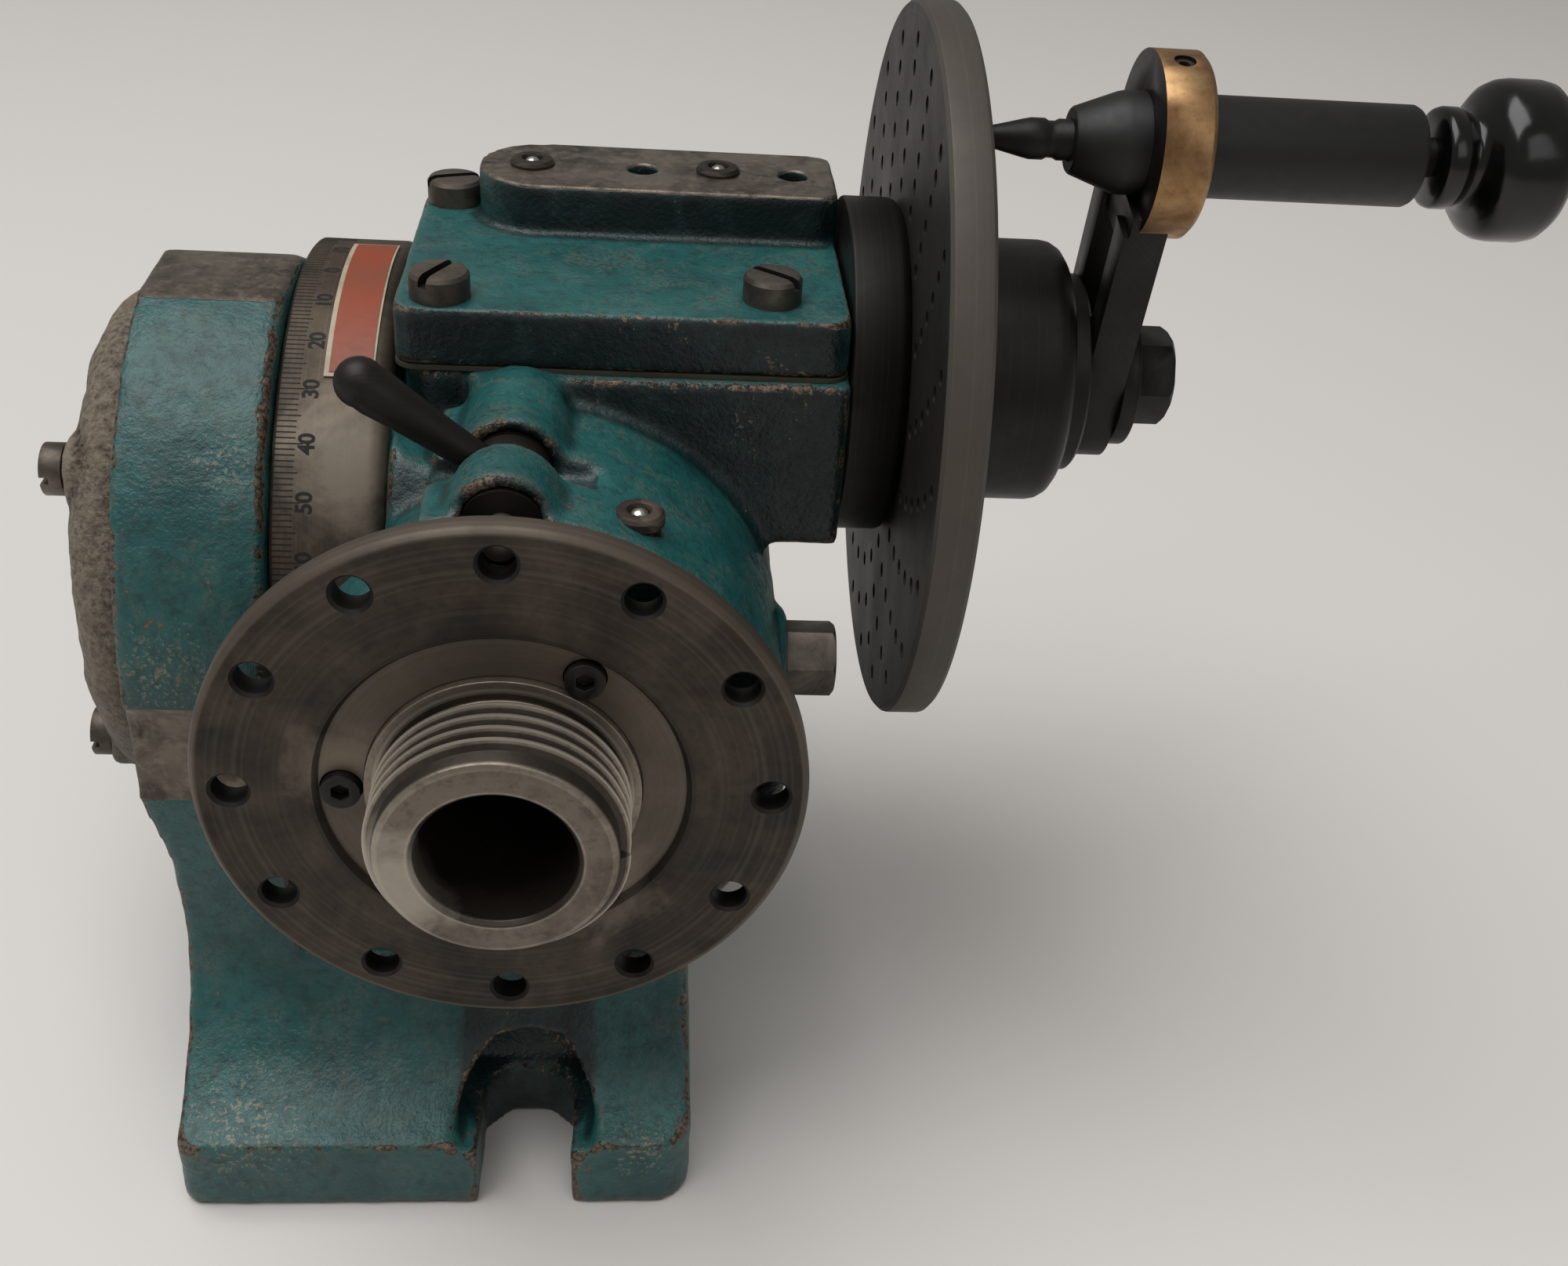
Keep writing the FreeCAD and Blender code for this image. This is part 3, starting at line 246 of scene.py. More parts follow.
@dataclass(frozen=True)
class TurnedSteel(Finish):
    """Plain steel off the lathe: fine tool rings, oil stain in patches, bright where hands and chips have rubbed."""

    light: str = "8a8279"
    dark: str = "3b3632"
    stain: str = "2a221c"
    rubbed: str = "9a9085"
    rough: float = 0.42
    metal: float = 0.7
    wear: Wear = Wear.OILED
    line: Line = Line.Y
    centre: tuple[float, float, float] = (0.0, 0.0, CENTRE)
    ring_mm: float = 0.6
    rings: float = 0.06
    bands: tuple[tuple[float, float, float], ...] = ()
    rubs: tuple[tuple[float, float, float, float], ...] = ()

    def dress(self, tree: bpy.types.NodeTree, shader: bpy.types.Node, place: bpy.types.NodeSocket) -> None:
        """Rings about the turning line, stain, dark or pale bands by radius, and rubbed spots."""
        spot = add(tree, "ShaderNodeMapping", {"vector_type": "POINT"}, Vector=place)
        spot.inputs["Location"].default_value = tuple(-c * MM for c in self.centre)
        patch = add(tree, "ShaderNodeTexNoise", Vector=place, Scale=per_mm(14), Detail=7.0, Roughness=0.6, Distortion=0.4).outputs[0]
        fine = add(tree, "ShaderNodeTexNoise", Vector=place, Scale=per_mm(1.6), Detail=5.0, Roughness=0.7).outputs[0]
        axis = {Line.X: 0, Line.Y: 1, Line.Z: 2}[self.line]
        parts = add(tree, "ShaderNodeSeparateXYZ", Vector=spot.outputs[0])
        flat = [parts.outputs[i] for i in range(3) if i != axis]
        radius = calc(tree, "SQRT", calc(tree, "ADD", calc(tree, "MULTIPLY", flat[0], flat[0]), calc(tree, "MULTIPLY", flat[1], flat[1])))
        along = calc(tree, "ADD", radius, parts.outputs[axis])
        rings = add(tree, "ShaderNodeTexNoise", {"noise_dimensions": "1D"}, W=along, Scale=per_mm(self.ring_mm), Detail=3.0).outputs[0]
        shift = {Wear.OILED: 0.0, Wear.DARK: 0.13, Wear.HANDLED: -0.1}[self.wear]
        colour = blended(tree, "MIX", ramp(tree, patch, 0.36 - shift, 0.66 - shift), linear(self.light), linear(self.dark))
        colour = blended(tree, "MIX", calc(tree, "MULTIPLY", ramp(tree, fine, 0.5, 0.78), 0.5), colour, linear(self.stain))
        colour = blended(tree, "MIX", calc(tree, "MULTIPLY", ramp(tree, rings, 0.5, 0.7), self.rings), colour, linear("b3aca2"))
        for low, high, amount in self.bands:
            inside = calc(tree, "MULTIPLY", ramp(tree, radius, low * MM, (low + 0.2) * MM), ramp(tree, radius, high * MM, (high - 0.2) * MM))
            colour = blended(tree, "MIX", calc(tree, "MULTIPLY", inside, abs(amount)), colour, linear(self.stain if amount > 0 else self.rubbed))
        for x, y, z, size in self.rubs:
            away = add(tree, "ShaderNodeVectorMath", {"operation": "DISTANCE"}, in0=place, in1=(x * MM, y * MM, z * MM)).outputs["Value"]
            away = calc(tree, "ADD", away, calc(tree, "MULTIPLY", calc(tree, "SUBTRACT", patch, 0.5), size * 2.0 * MM))
            near = calc(tree, "MULTIPLY", ramp(tree, away, size * MM, size * 0.3 * MM), 0.6)
            colour = blended(tree, "MIX", near, colour, linear(self.rubbed))
        rough = calc(tree, "ADD", calc(tree, "MULTIPLY", patch, 0.22), self.rough - 0.11)
        rough = calc(tree, "ADD", rough, calc(tree, "MULTIPLY", fine, 0.12))
        height = calc(tree, "ADD", calc(tree, "MULTIPLY", rings, self.rings * 6.0), calc(tree, "MULTIPLY", fine, 0.5))
        bump = add(tree, "ShaderNodeBump", Height=height, Strength=0.35, Distance=0.08 * MM)
        shader.inputs["Metallic"].default_value = self.metal
        tree.links.new(colour, shader.inputs["Base Color"])
        tree.links.new(rough, shader.inputs["Roughness"])
        tree.links.new(bump.outputs[0], shader.inputs["Normal"])


@dataclass(frozen=True)
class RawCasting(Finish):
    """Unpainted sand casting: coarse skin, brown rust in the pits, grey iron on the high spots."""

    iron: str = "8d8273"
    rust: str = "5a4636"
    dark: str = "2a2420"

    def dress(self, tree: bpy.types.NodeTree, shader: bpy.types.Node, place: bpy.types.NodeSocket) -> None:
        """Iron and rust, darkened by the painted shade that the casting's skin marks, with a coarse bump."""
        edge = add(tree, "ShaderNodeAttribute", {"attribute_name": "edge"}).outputs["Fac"]
        patch = add(tree, "ShaderNodeTexNoise", Vector=place, Scale=per_mm(12), Detail=8.0, Roughness=0.7).outputs[0]
        pits = add(tree, "ShaderNodeTexNoise", Vector=place, Scale=per_mm(1.3), Detail=5.0, Roughness=0.7).outputs[0]
        colour = blended(tree, "MIX", ramp(tree, patch, 0.38, 0.62), linear(self.rust), linear(self.dark))
        high = calc(tree, "ADD", pits, calc(tree, "MULTIPLY", edge, 0.3))
        colour = blended(tree, "MIX", ramp(tree, high, 0.38, 0.68), colour, linear(self.iron))
        # Darker on faces that look down or to the front, and towards the bottom of the cap: painted shade on the down-
        # and front-facing faces.
        sooty = add(tree, "ShaderNodeAttribute", {"attribute_name": "soot"}).outputs["Fac"]
        colour = blended(tree, "MIX", calc(tree, "MULTIPLY", sooty, calc(tree, "ADD", patch, 0.3)), colour, linear("171412"))
        bump = add(tree, "ShaderNodeBump", Height=calc(tree, "ADD", pits, patch), Strength=0.9, Distance=0.9 * MM)
        shader.inputs["Metallic"].default_value = 0.35
        tree.links.new(colour, shader.inputs["Base Color"])
        tree.links.new(calc(tree, "ADD", calc(tree, "MULTIPLY", pits, 0.4), 0.36), shader.inputs["Roughness"])
        tree.links.new(bump.outputs[0], shader.inputs["Normal"])


@dataclass(frozen=True)
class FlatColour(Finish):
    """A coated or moulded surface of one colour, with the dust, rubbing and small scratches of use."""

    colour: str = "151515"
    rubbed: str = "3a3836"
    rough: float = 0.3
    metal: float = 0.0
    grain_mm: float = 3.0
    bump_mm: float = 0.05

    def dress(self, tree: bpy.types.NodeTree, shader: bpy.types.Node, place: bpy.types.NodeSocket) -> None:
        """The colour, rubbed in patches, with fine scratches in its gloss."""
        patch = add(tree, "ShaderNodeTexNoise", Vector=place, Scale=per_mm(11), Detail=6.0, Roughness=0.6).outputs[0]
        fine = add(tree, "ShaderNodeTexNoise", Vector=place, Scale=per_mm(self.grain_mm), Detail=6.0, Roughness=0.65).outputs[0]
        mix = calc(tree, "MULTIPLY", ramp(tree, calc(tree, "ADD", patch, calc(tree, "MULTIPLY", fine, 0.4)), 0.62, 0.95), 0.75)
        colour = blended(tree, "MIX", mix, linear(self.colour), linear(self.rubbed))
        bump = add(tree, "ShaderNodeBump", Height=fine, Strength=0.5, Distance=self.bump_mm * MM)
        shader.inputs["Metallic"].default_value = self.metal
        tree.links.new(colour, shader.inputs["Base Color"])
        tree.links.new(calc(tree, "ADD", calc(tree, "MULTIPLY", fine, 0.25), self.rough - 0.1), shader.inputs["Roughness"])
        tree.links.new(bump.outputs[0], shader.inputs["Normal"])


ON_WORM = (0.0, 0.0, CENTRE + WORM_Z)
PAINT_BASE = CastEnamel("enamel_on_cast_base", chipped=0.02, scuffs=(
    (-52.0, -88.0, 19.0, 20.0), (26.0, -91.0, 15.0, 11.0), (-62.0, -60.0, CENTRE + 8.0, 17.0), (-50.0, -45.0, CENTRE + 40.0, 12.0)))
PAINT_HEAD = CastEnamel("enamel_on_cast_head", chipped=-0.03)
PAINT_COVER = CastEnamel("enamel_on_cast_cover")
PAINT_CAP = CastEnamel("enamel_on_rear_cap")
RAW_CAP = RawCasting("rusty_sand_casting")
DRUM_STEEL = TurnedSteel("worn_drum_steel", light="544739", dark="2f2720", stain="211b16", rubbed="8d8274", line=Line.X, rough=0.5,
                         metal=0.45, rings=0.03, rubs=((-30.0, -45.6, CENTRE + 41.0, 15.0),))
PLATE_STEEL = TurnedSteel("oiled_plate_steel", light="463c33", dark="2a241f", stain="221c18", rubbed="857a6c", rough=0.46, metal=0.6,
                          rings=0.05, ring_mm=1.1, bands=((51.8, 53.4, -0.3), (24.0, 31.8, -0.34), (32.0, 33.4, 0.5)),
                          rubs=((17.0, -85.2, CENTRE - 22.0, 13.0), (-26.0, -85.2, CENTRE + 4.0, 11.0)))
NOSE_STEEL = TurnedSteel("bright_nose_steel", light="8d8377", dark="544a41", stain="261f1a", rubbed="b7aea2", wear=Wear.HANDLED, rough=0.36,
                         metal=0.75, bands=((0.0, 14.6, 0.85), (14.8, 19.3, 0.4), (20.2, 21.6, 0.8), (21.8, 22.6, -0.75)),
                         rubs=((-17.0, -104.0, CENTRE - 6.0, 12.0),))
INDEX_STEEL = TurnedSteel("index_plate_steel", light="2b2622", dark="181513", stain="100e0c", rubbed="71685e", line=Line.X, centre=ON_WORM,
                          rough=0.5, metal=0.25, rings=0.03, bands=((69.9, 71.2, -0.35),))
BLACK_STEEL = TurnedSteel("blackened_steel_x", light="221e1c", dark="141210", stain="0b0a09", rubbed="4a443f", wear=Wear.DARK, line=Line.X,
                          centre=ON_WORM, rough=0.4, metal=0.5, rings=0.01)
BLACK_STEEL_Y = TurnedSteel("blackened_steel_y", light="302b27", dark="1d1a18", stain="110f0d", rubbed="4a443f", wear=Wear.DARK, rough=0.42,
                            metal=0.5, rings=0.01)
SCREW_STEEL = TurnedSteel("oily_screw_steel", light="6a6158", dark="39332e", wear=Wear.OILED, rough=0.4, rings=0.02)
BALL_STEEL = TurnedSteel("oiler_ball_steel", light="c9c5be", dark="8f8a83", wear=Wear.HANDLED, rough=0.2, metal=0.9)
EYE_BRONZE = TurnedSteel("rubbed_bronze_ring", light="b08d62", dark="6d4a30", stain="4a3422", rubbed="c9ab80", line=Line.X, centre=ON_WORM,
                         rough=0.36, metal=0.85, rings=0.03)
BUSH_BRONZE = TurnedSteel("bearing_bronze", light="8f7245", dark="5d472a", stain="33271a", rough=0.4, rings=0.02)
HOLE_BLACK = TurnedSteel("oily_hole_wall", light="1d1917", dark="0e0c0b", stain="080706", rough=0.55, metal=0.3, rings=0.0)
BARREL_BLACK = FlatColour("black_baked_paint", colour="070606", rubbed="12100f", rough=0.5)
KNOB_BLACK = FlatColour("polished_phenolic", colour="060606", rubbed="0d0d0d", rough=0.17, bump_mm=0.02)
PLATE_ORANGE = FlatColour("worn_red_lacquer", colour="8f3d20", rubbed="704531", rough=0.5, grain_mm=1.5)
PLATE_CREAM = FlatColour("cream_lacquer_edge", colour="b5a890", rubbed="7d705c", rough=0.55)
ENGRAVED = FlatColour("filled_engraving", colour="120e0b", rubbed="1b1612", rough=0.75)
BOARD = FlatColour("oiled_gasket_board", colour="3b3b30", rubbed="242219", rough=0.75)


# ------------------------------------------------------------------ mesh tools
def piece(name: str, bm: bmesh.types.BMesh, finish: Finish, body: str, stands_for: tuple[str, ...] = (),
          round_mm: float = 0.0, smooth_deg: float = 35.0) -> bpy.types.Object:
    """Turns a finished bmesh to an object that rides on a body.

    Args:
        name: The piece's name.
        bm: Its mesh in metres, already in place. It is freed.
        finish: What its surface is.
        body: The moving body that carries it.
        stands_for: The nodes that it is shown in place of.
        round_mm: The radius of its broken edges, or 0 to leave them.
        smooth_deg: Edges flatter than this are shaded smooth.

    Returns:
        The new object.
    """
    mesh = bpy.data.meshes.new(name)
    bm.to_mesh(mesh)
    bm.free()
    mesh.polygons.foreach_set("use_smooth", [True] * len(mesh.polygons))
    mesh.materials.append(finish.material())
    obj = bpy.data.objects.new(name, mesh)
    bpy.context.scene.collection.objects.link(obj)
    if round_mm > 0:
        soft = obj.modifiers.new("broken_edges", "BEVEL")
        soft.width = round_mm * MM
        soft.segments = 2
        soft.limit_method = "ANGLE"
        soft.angle_limit = math.radians(smooth_deg)
        soft.harden_normals = True
    else:
        mesh.set_sharp_from_angle(angle=math.radians(smooth_deg))
    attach(obj, body)
    if stands_for:
        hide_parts(*stands_for)
    log.info("%s on %s, %d faces", name, body, len(mesh.polygons))
    return obj


def spot(line: Line, along: float, radius: float, centre: tuple[float, float, float]) -> Vector:
    """A point of a turned profile, in metres, before it is spun."""
    x, y, z = centre
    if line is Line.X:
        return Vector((along, y, z + radius)) * MM
    if line is Line.Y:
        return Vector((x + radius, along, z)) * MM
    return Vector((x + radius, y, along)) * MM


def turned(bm: bmesh.types.BMesh, line: Line, centre: tuple[float, float, float], profile: list[tuple[float, float]],
           steps: int = 128, closed: bool = True) -> None:
    """Spins a profile into a turned solid.

    Args:
        bm: The mesh to add to.
        line: The direction of the turning line.
        centre: A point on that line, mm.
        profile: Places along the line with their radius, mm.
        steps: How many flats go round.
        closed: Joins the last point to the first.
    """
    verts = [bm.verts.new(spot(line, along, radius, centre)) for along, radius in profile]
    edges = [bm.edges.new(pair) for pair in zip(verts, verts[1:])]
    if closed:
        edges.append(bm.edges.new((verts[-1], verts[0])))
    axis = {Line.X: Vector((1, 0, 0)), Line.Y: Vector((0, 1, 0)), Line.Z: Vector((0, 0, 1))}[line]
    bmesh.ops.spin(bm, geom=verts + edges, cent=Vector(centre) * MM, axis=axis, angle=FULL, steps=steps, use_merge=True)
    bmesh.ops.remove_doubles(bm, verts=bm.verts, dist=1e-6)
    bmesh.ops.dissolve_degenerate(bm, edges=bm.edges, dist=1e-7)
    bmesh.ops.recalc_face_normals(bm, faces=bm.faces)


def bored(obj: bpy.types.Object, cutter: bmesh.types.BMesh, wall: Finish) -> None:
    """Cuts a mesh of holes, with their own finish, out of an object and keeps the result as its mesh."""
    mesh = bpy.data.meshes.new("cutter")
    cutter.to_mesh(mesh)
    cutter.free()
    mesh.materials.append(wall.material())
    tool = bpy.data.objects.new("cutter", mesh)
    bpy.context.scene.collection.objects.link(tool)
    cut = obj.modifiers.new("holes", "BOOLEAN")
    cut.operation = "DIFFERENCE"
    cut.solver = "EXACT"
    cut.material_mode = "TRANSFER"
    cut.object = tool
    settle(obj)
    bpy.data.objects.remove(tool)


def settle(obj: bpy.types.Object) -> None:
    """Applies an object's modifiers to its mesh."""
    graph = bpy.context.evaluated_depsgraph_get()
    fresh = bpy.data.meshes.new_from_object(obj.evaluated_get(graph))
    obj.modifiers.clear()
    old = obj.data
    obj.data = fresh
    fresh.name = old.name


def drill(bm: bmesh.types.BMesh, line: Line, centre: tuple[float, float, float], radius: float, length: float, sides: int = 20) -> None:
    """Adds a capped cylinder, for a hole to be cut."""
    turn = {Line.X: Matrix.Rotation(math.pi / 2, 4, "Y"), Line.Y: Matrix.Rotation(math.pi / 2, 4, "X"), Line.Z: Matrix.Identity(4)}[line]
    bmesh.ops.create_cone(bm, cap_ends=True, segments=sides, radius1=radius * MM, radius2=radius * MM, depth=length * MM,
                          matrix=Matrix.Translation(Vector(centre) * MM) @ turn)


def carried_over(node: str) -> bmesh.types.BMesh:
    """Copies a solid's mesh and joins its loose triangles."""
    bm = bmesh.new()
    bm.from_mesh(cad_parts[node].data)
    bmesh.ops.remove_doubles(bm, verts=bm.verts, dist=2e-6)
    return bm


def tidy_copy(node: str, name: str, finish: Finish, body: str, round_mm: float) -> bpy.types.Object:
    """Shows a solid with its edges broken, as a filed and handled piece has them."""
    bm = carried_over(node)
    bmesh.ops.dissolve_limit(bm, angle_limit=math.radians(2.0), verts=bm.verts, edges=bm.edges)
    return piece(name, bm, finish, body, (node,), round_mm, 32.0)


@dataclass(frozen=True)
class Flat:
    """A machined face: what lies past a plane, between two heights, is bare and stays flat."""

    normal: tuple[float, float, float]
    past_mm: float
    low_mm: float = -1000.0
    high_mm: float = 1000.0

    def depth(self, at: np.ndarray) -> np.ndarray:
        """How far each point lies inside the face's region, mm."""
        mm = at / MM - np.array((0.0, 0.0, CENTRE))
        return np.minimum(mm @ np.array(self.normal) - self.past_mm, np.minimum(mm[:, 2] - self.low_mm, self.high_mm - mm[:, 2]))


@dataclass(frozen=True)
class Casting:
    """How a casting's skin is made from its solid: the grid, its softness, lumps, bare flats, and painted shade on
    faces that look to the front or down and in pits.
    """

    grid_mm: float
    passes: int
    lumps_mm: float
    flats: tuple[Flat, ...] = ()
    # Painted shade on faces that look to the front and on faces that look down; each pit (x, y, size, top, fade)
    # darkens what lies within its circle below its top.
    front_soot: float = 0.0
    under_soot: float = 0.0
    pits: tuple[tuple[float, float, float, float, float], ...] = ()

    def skin(self, node: str, name: str, finish: Finish, body: str) -> bpy.types.Object:
        """Shows a solid as a sand casting: soft edges, an uneven skin, and how worn and bare each spot is and how much
        painted shade it takes.

        Args:
            node: The solid.
            name: The new piece's name.
            finish: Its surface.
            body: The body that carries it.

        Returns:
            The new object.
        """
        obj = piece(name, carried_over(node), finish, body, (node,))
        grid = obj.modifiers.new("grid", "REMESH")
        grid.mode = "VOXEL"
        grid.voxel_size = self.grid_mm * MM
        grid.use_smooth_shade = True
        settle(obj)
        mesh = obj.data
        count = len(mesh.vertices)
        at = np.empty(count * 3)
        mesh.vertices.foreach_get("co", at)
        at = at.reshape(-1, 3)
        ends = np.empty(len(mesh.edges) * 2, dtype=np.int64)
        mesh.edges.foreach_get("vertices", ends)
        ends = ends.reshape(-1, 2)
        share = np.bincount(ends.ravel(), minlength=count).clip(1)[:, None]
        low, high = at.min(0), at.max(0)

        def relaxed(values: np.ndarray) -> np.ndarray:
            """Averages each vertex with its neighbours."""
            total = np.zeros_like(values)
            np.add.at(total, ends[:, 0], values[ends[:, 1]])
            np.add.at(total, ends[:, 1], values[ends[:, 0]])
            return total / share

        for _ in range(self.passes):
            at = at + 0.5 * (relaxed(at) - at)
        mesh.vertices.foreach_set("co", at.ravel())
        mesh.update()
        out = np.empty(count * 3)
        mesh.vertices.foreach_get("normal", out)
        out = out.reshape(-1, 3)
        pull = relaxed(((at - relaxed(at)) * out).sum(1)[:, None])[:, 0] / MM
        # Painted shade: faces that look to the front or down are darkened, and so is what lies within each pit's circle
        # below its top, more the lower it lies.
        soot = self.front_soot * np.clip(-out[:, 1], 0.0, 1.0) ** 1.5 + self.under_soot * np.clip(-out[:, 2], 0.0, 1.0)
        bare = np.zeros(count)
        for x, y, size, top, fade in self.pits:
            away = np.hypot(at[:, 0] / MM - x, at[:, 1] / MM - y)
            inside = np.clip((size - away) / 1.5 + 0.5, 0.0, 1.0) * np.clip((top + CENTRE - at[:, 2] / MM) / fade, 0.0, 1.0)
            soot = np.maximum(soot, 0.9 * inside)
        for flat in self.flats:
            bare = np.maximum(bare, np.clip(flat.depth(at) / 0.6 + 0.5, 0.0, 1.0))
        push = np.array([noise.fractal(Vector(p) * per_mm(7.0), 0.9, 2.0, 3) for p in at])
        push = push * self.lumps_mm * MM * (1.0 - bare)
        at = np.clip(at + out * push[:, None], low, high)
        mesh.vertices.foreach_set("co", at.ravel())
        for kind, values in (("edge", np.clip(pull / (0.09 * self.grid_mm), -1.0, 1.0)), ("bare", bare), ("soot", np.clip(soot, 0.0, 1.0))):
            mesh.attributes.new(kind, "FLOAT", "POINT").data.foreach_set("value", values.astype(np.float32))
        mesh.update()
        log.info("%s has %d faces", name, len(mesh.polygons))
        return obj


# ------------------------------------------------------------------ sub-assemblies
@dataclass
class Stand:
    """The base casting with its bearing ring, and the rough cap on the ring's left."""

    grid_mm: float = 1.2
    flats: tuple[Flat, ...] = (Flat((0.0, 0.0, 1.0), 61.4), Flat((0.0, 0.4226, 0.9063), 56.0), Flat((0.0, -1.0, 0.0), 63.4, -20.5, 0.5),
                               Flat((0.0, 0.0, -1.0), 101.3))

    def build(self) -> None:
        """Makes the base and the end cap."""
        # The base takes painted shade on faces that look to the front (0.25) and down (0.7), and in the arch pocket at
        # the foot's front.
        Casting(self.grid_mm, 3, 0.22, self.flats, 0.25, 0.7, ((2.4, -76.0, 14.0, -58.0, 9.0),)).skin("base_casting", "base_stand", PAINT_BASE, "base")
        # The end cap takes painted shade on faces that look to the front (0.2) and down (0.9), and grows darker towards
        # the bottom below the spindle's height.
        Casting(1.0, 4, 0.5, (), 0.2, 0.9, ((-78.0, 0.0, 90.0, 5.0, 45.0),)).skin("end_cap", "rough_end_cap", RAW_CAP, "head")
        tidy_copy("end_cap_screws", "cap_screws", SCREW_STEEL, "head", 0.3)


@dataclass
class Drum:
    """The graduated collar: numbered every ten degrees, with a line for each degree, and its bare name plate."""

    radius: float = 61.4
    left: float = -43.1
    right: float = -23.0
    reach_deg: int = 92
    lines_mm: dict[int, float] = field(default_factory=lambda: {1: 3.6, 5: 4.3, 10: 4.9})
    digit_mm: float = 2.8
    digit_x: float = -36.9
    zero_deg: float = 4.4

    def build(self) -> None:
        """Makes the collar, its engraving and the plate."""
        r = self.radius
        bm = bmesh.new()
        turned(bm, Line.X, (0, 0, CENTRE), [
            (-69.85, 0), (-69.85, 48), (self.left, 48), (self.left, r - 0.6), (self.left + 0.6, r), (self.right - 3.2, r),
            (self.right - 1.6, r - 0.4), (self.right - 0.5, r - 1.5), (self.right, r - 3.4), (self.right, 56), (-41, 56), (-41, 0)], 256)
        piece("graduated_drum", bm, DRUM_STEEL, "head", ("swivel_drum",), 0.15)
        self.engrave()
        self.plate()

    def engrave(self) -> None:
        """Cuts the degree lines and the numbers."""
        bm = bmesh.new()
        for degree in range(-self.reach_deg, self.reach_deg + 1):
            length = self.lines_mm[10 if degree % 10 == 0 else 5 if degree % 5 == 0 else 1]
            place = Matrix.Translation(Vector((0, 0, CENTRE)) * MM) @ Matrix.Rotation(math.radians(degree + self.zero_deg), 4, "X")
            shape = Matrix.Translation(Vector((self.left + 0.5 + length / 2, 0, self.radius)) * MM) @ Matrix.Diagonal((length * MM, 0.26 * MM, 0.05 * MM, 1))
            bmesh.ops.create_cube(bm, size=1.0, matrix=place @ shape)
        piece("degree_lines", bm, ENGRAVED, "head")
        bm = bmesh.new()
        for degree in range(-90, 91, 10):
            self.number(bm, str(abs(degree)), degree)
        piece("degree_numbers", bm, ENGRAVED, "head")

    def number(self, bm: bmesh.types.BMesh, word: str, degree: int) -> None:
        """Wraps one number round the collar.

        Args:
            bm: The mesh to add to.
            word: The number.
            degree: Where it stands, counted from the top toward the nose.
        """
        curve = bpy.data.curves.new("number", "FONT")
        curve.body = word
        curve.size = self.digit_mm / 0.7
        curve.align_x = "CENTER"
        curve.align_y = "CENTER"
        curve.extrude = 0.02
        curve.offset = 0.12
        text = bpy.data.objects.new("number", curve)
        bpy.context.scene.collection.objects.link(text)
        mesh = bpy.data.meshes.new_from_object(text.evaluated_get(bpy.context.evaluated_depsgraph_get()))
        for vert in mesh.vertices:
            turn = math.radians(degree + self.zero_deg) - vert.co.x / self.radius
            reach = self.radius + 0.01 + vert.co.z
            vert.co = Vector((self.digit_x - vert.co.y, -reach * math.sin(turn), CENTRE + reach * math.cos(turn))) * MM
        bm.from_mesh(mesh)
        bpy.data.objects.remove(text)
        bpy.data.meshes.remove(mesh)

    def plate(self) -> None:
        """Bends the bare name plate over the collar: red lacquer inside a cream edge."""
        for name, x0, x1, low, high, lift, finish in (
            ("name_plate_edge", -35.0, -26.1, -9.0, 32.0, 0.42, PLATE_CREAM),
            ("name_plate_field", -34.1, -26.5, -8.2, 31.2, 0.56, PLATE_ORANGE),
        ):
            bm = bmesh.new()
            flat = bmesh.ops.create_grid(bm, x_segments=8, y_segments=40, size=0.5)
            for vert in flat["verts"]:
                turn = math.radians(low + (high - low) * (vert.co.y + 0.5))
                reach = self.radius + lift
                x = x0 + (x1 - x0) * (vert.co.x + 0.5)
                vert.co = Vector((x, -reach * math.sin(turn), CENTRE + reach * math.cos(turn))) * MM
            bmesh.ops.recalc_face_normals(bm, faces=bm.faces)
            if bm.faces[:][0].normal.z < 0:
                bmesh.ops.reverse_faces(bm, faces=bm.faces)
            bmesh.ops.solidify(bm, geom=bm.faces[:], thickness=0.3 * MM)
            piece(name, bm, finish, "head", ("name_plate",) if "edge" in name else (), 0.0)


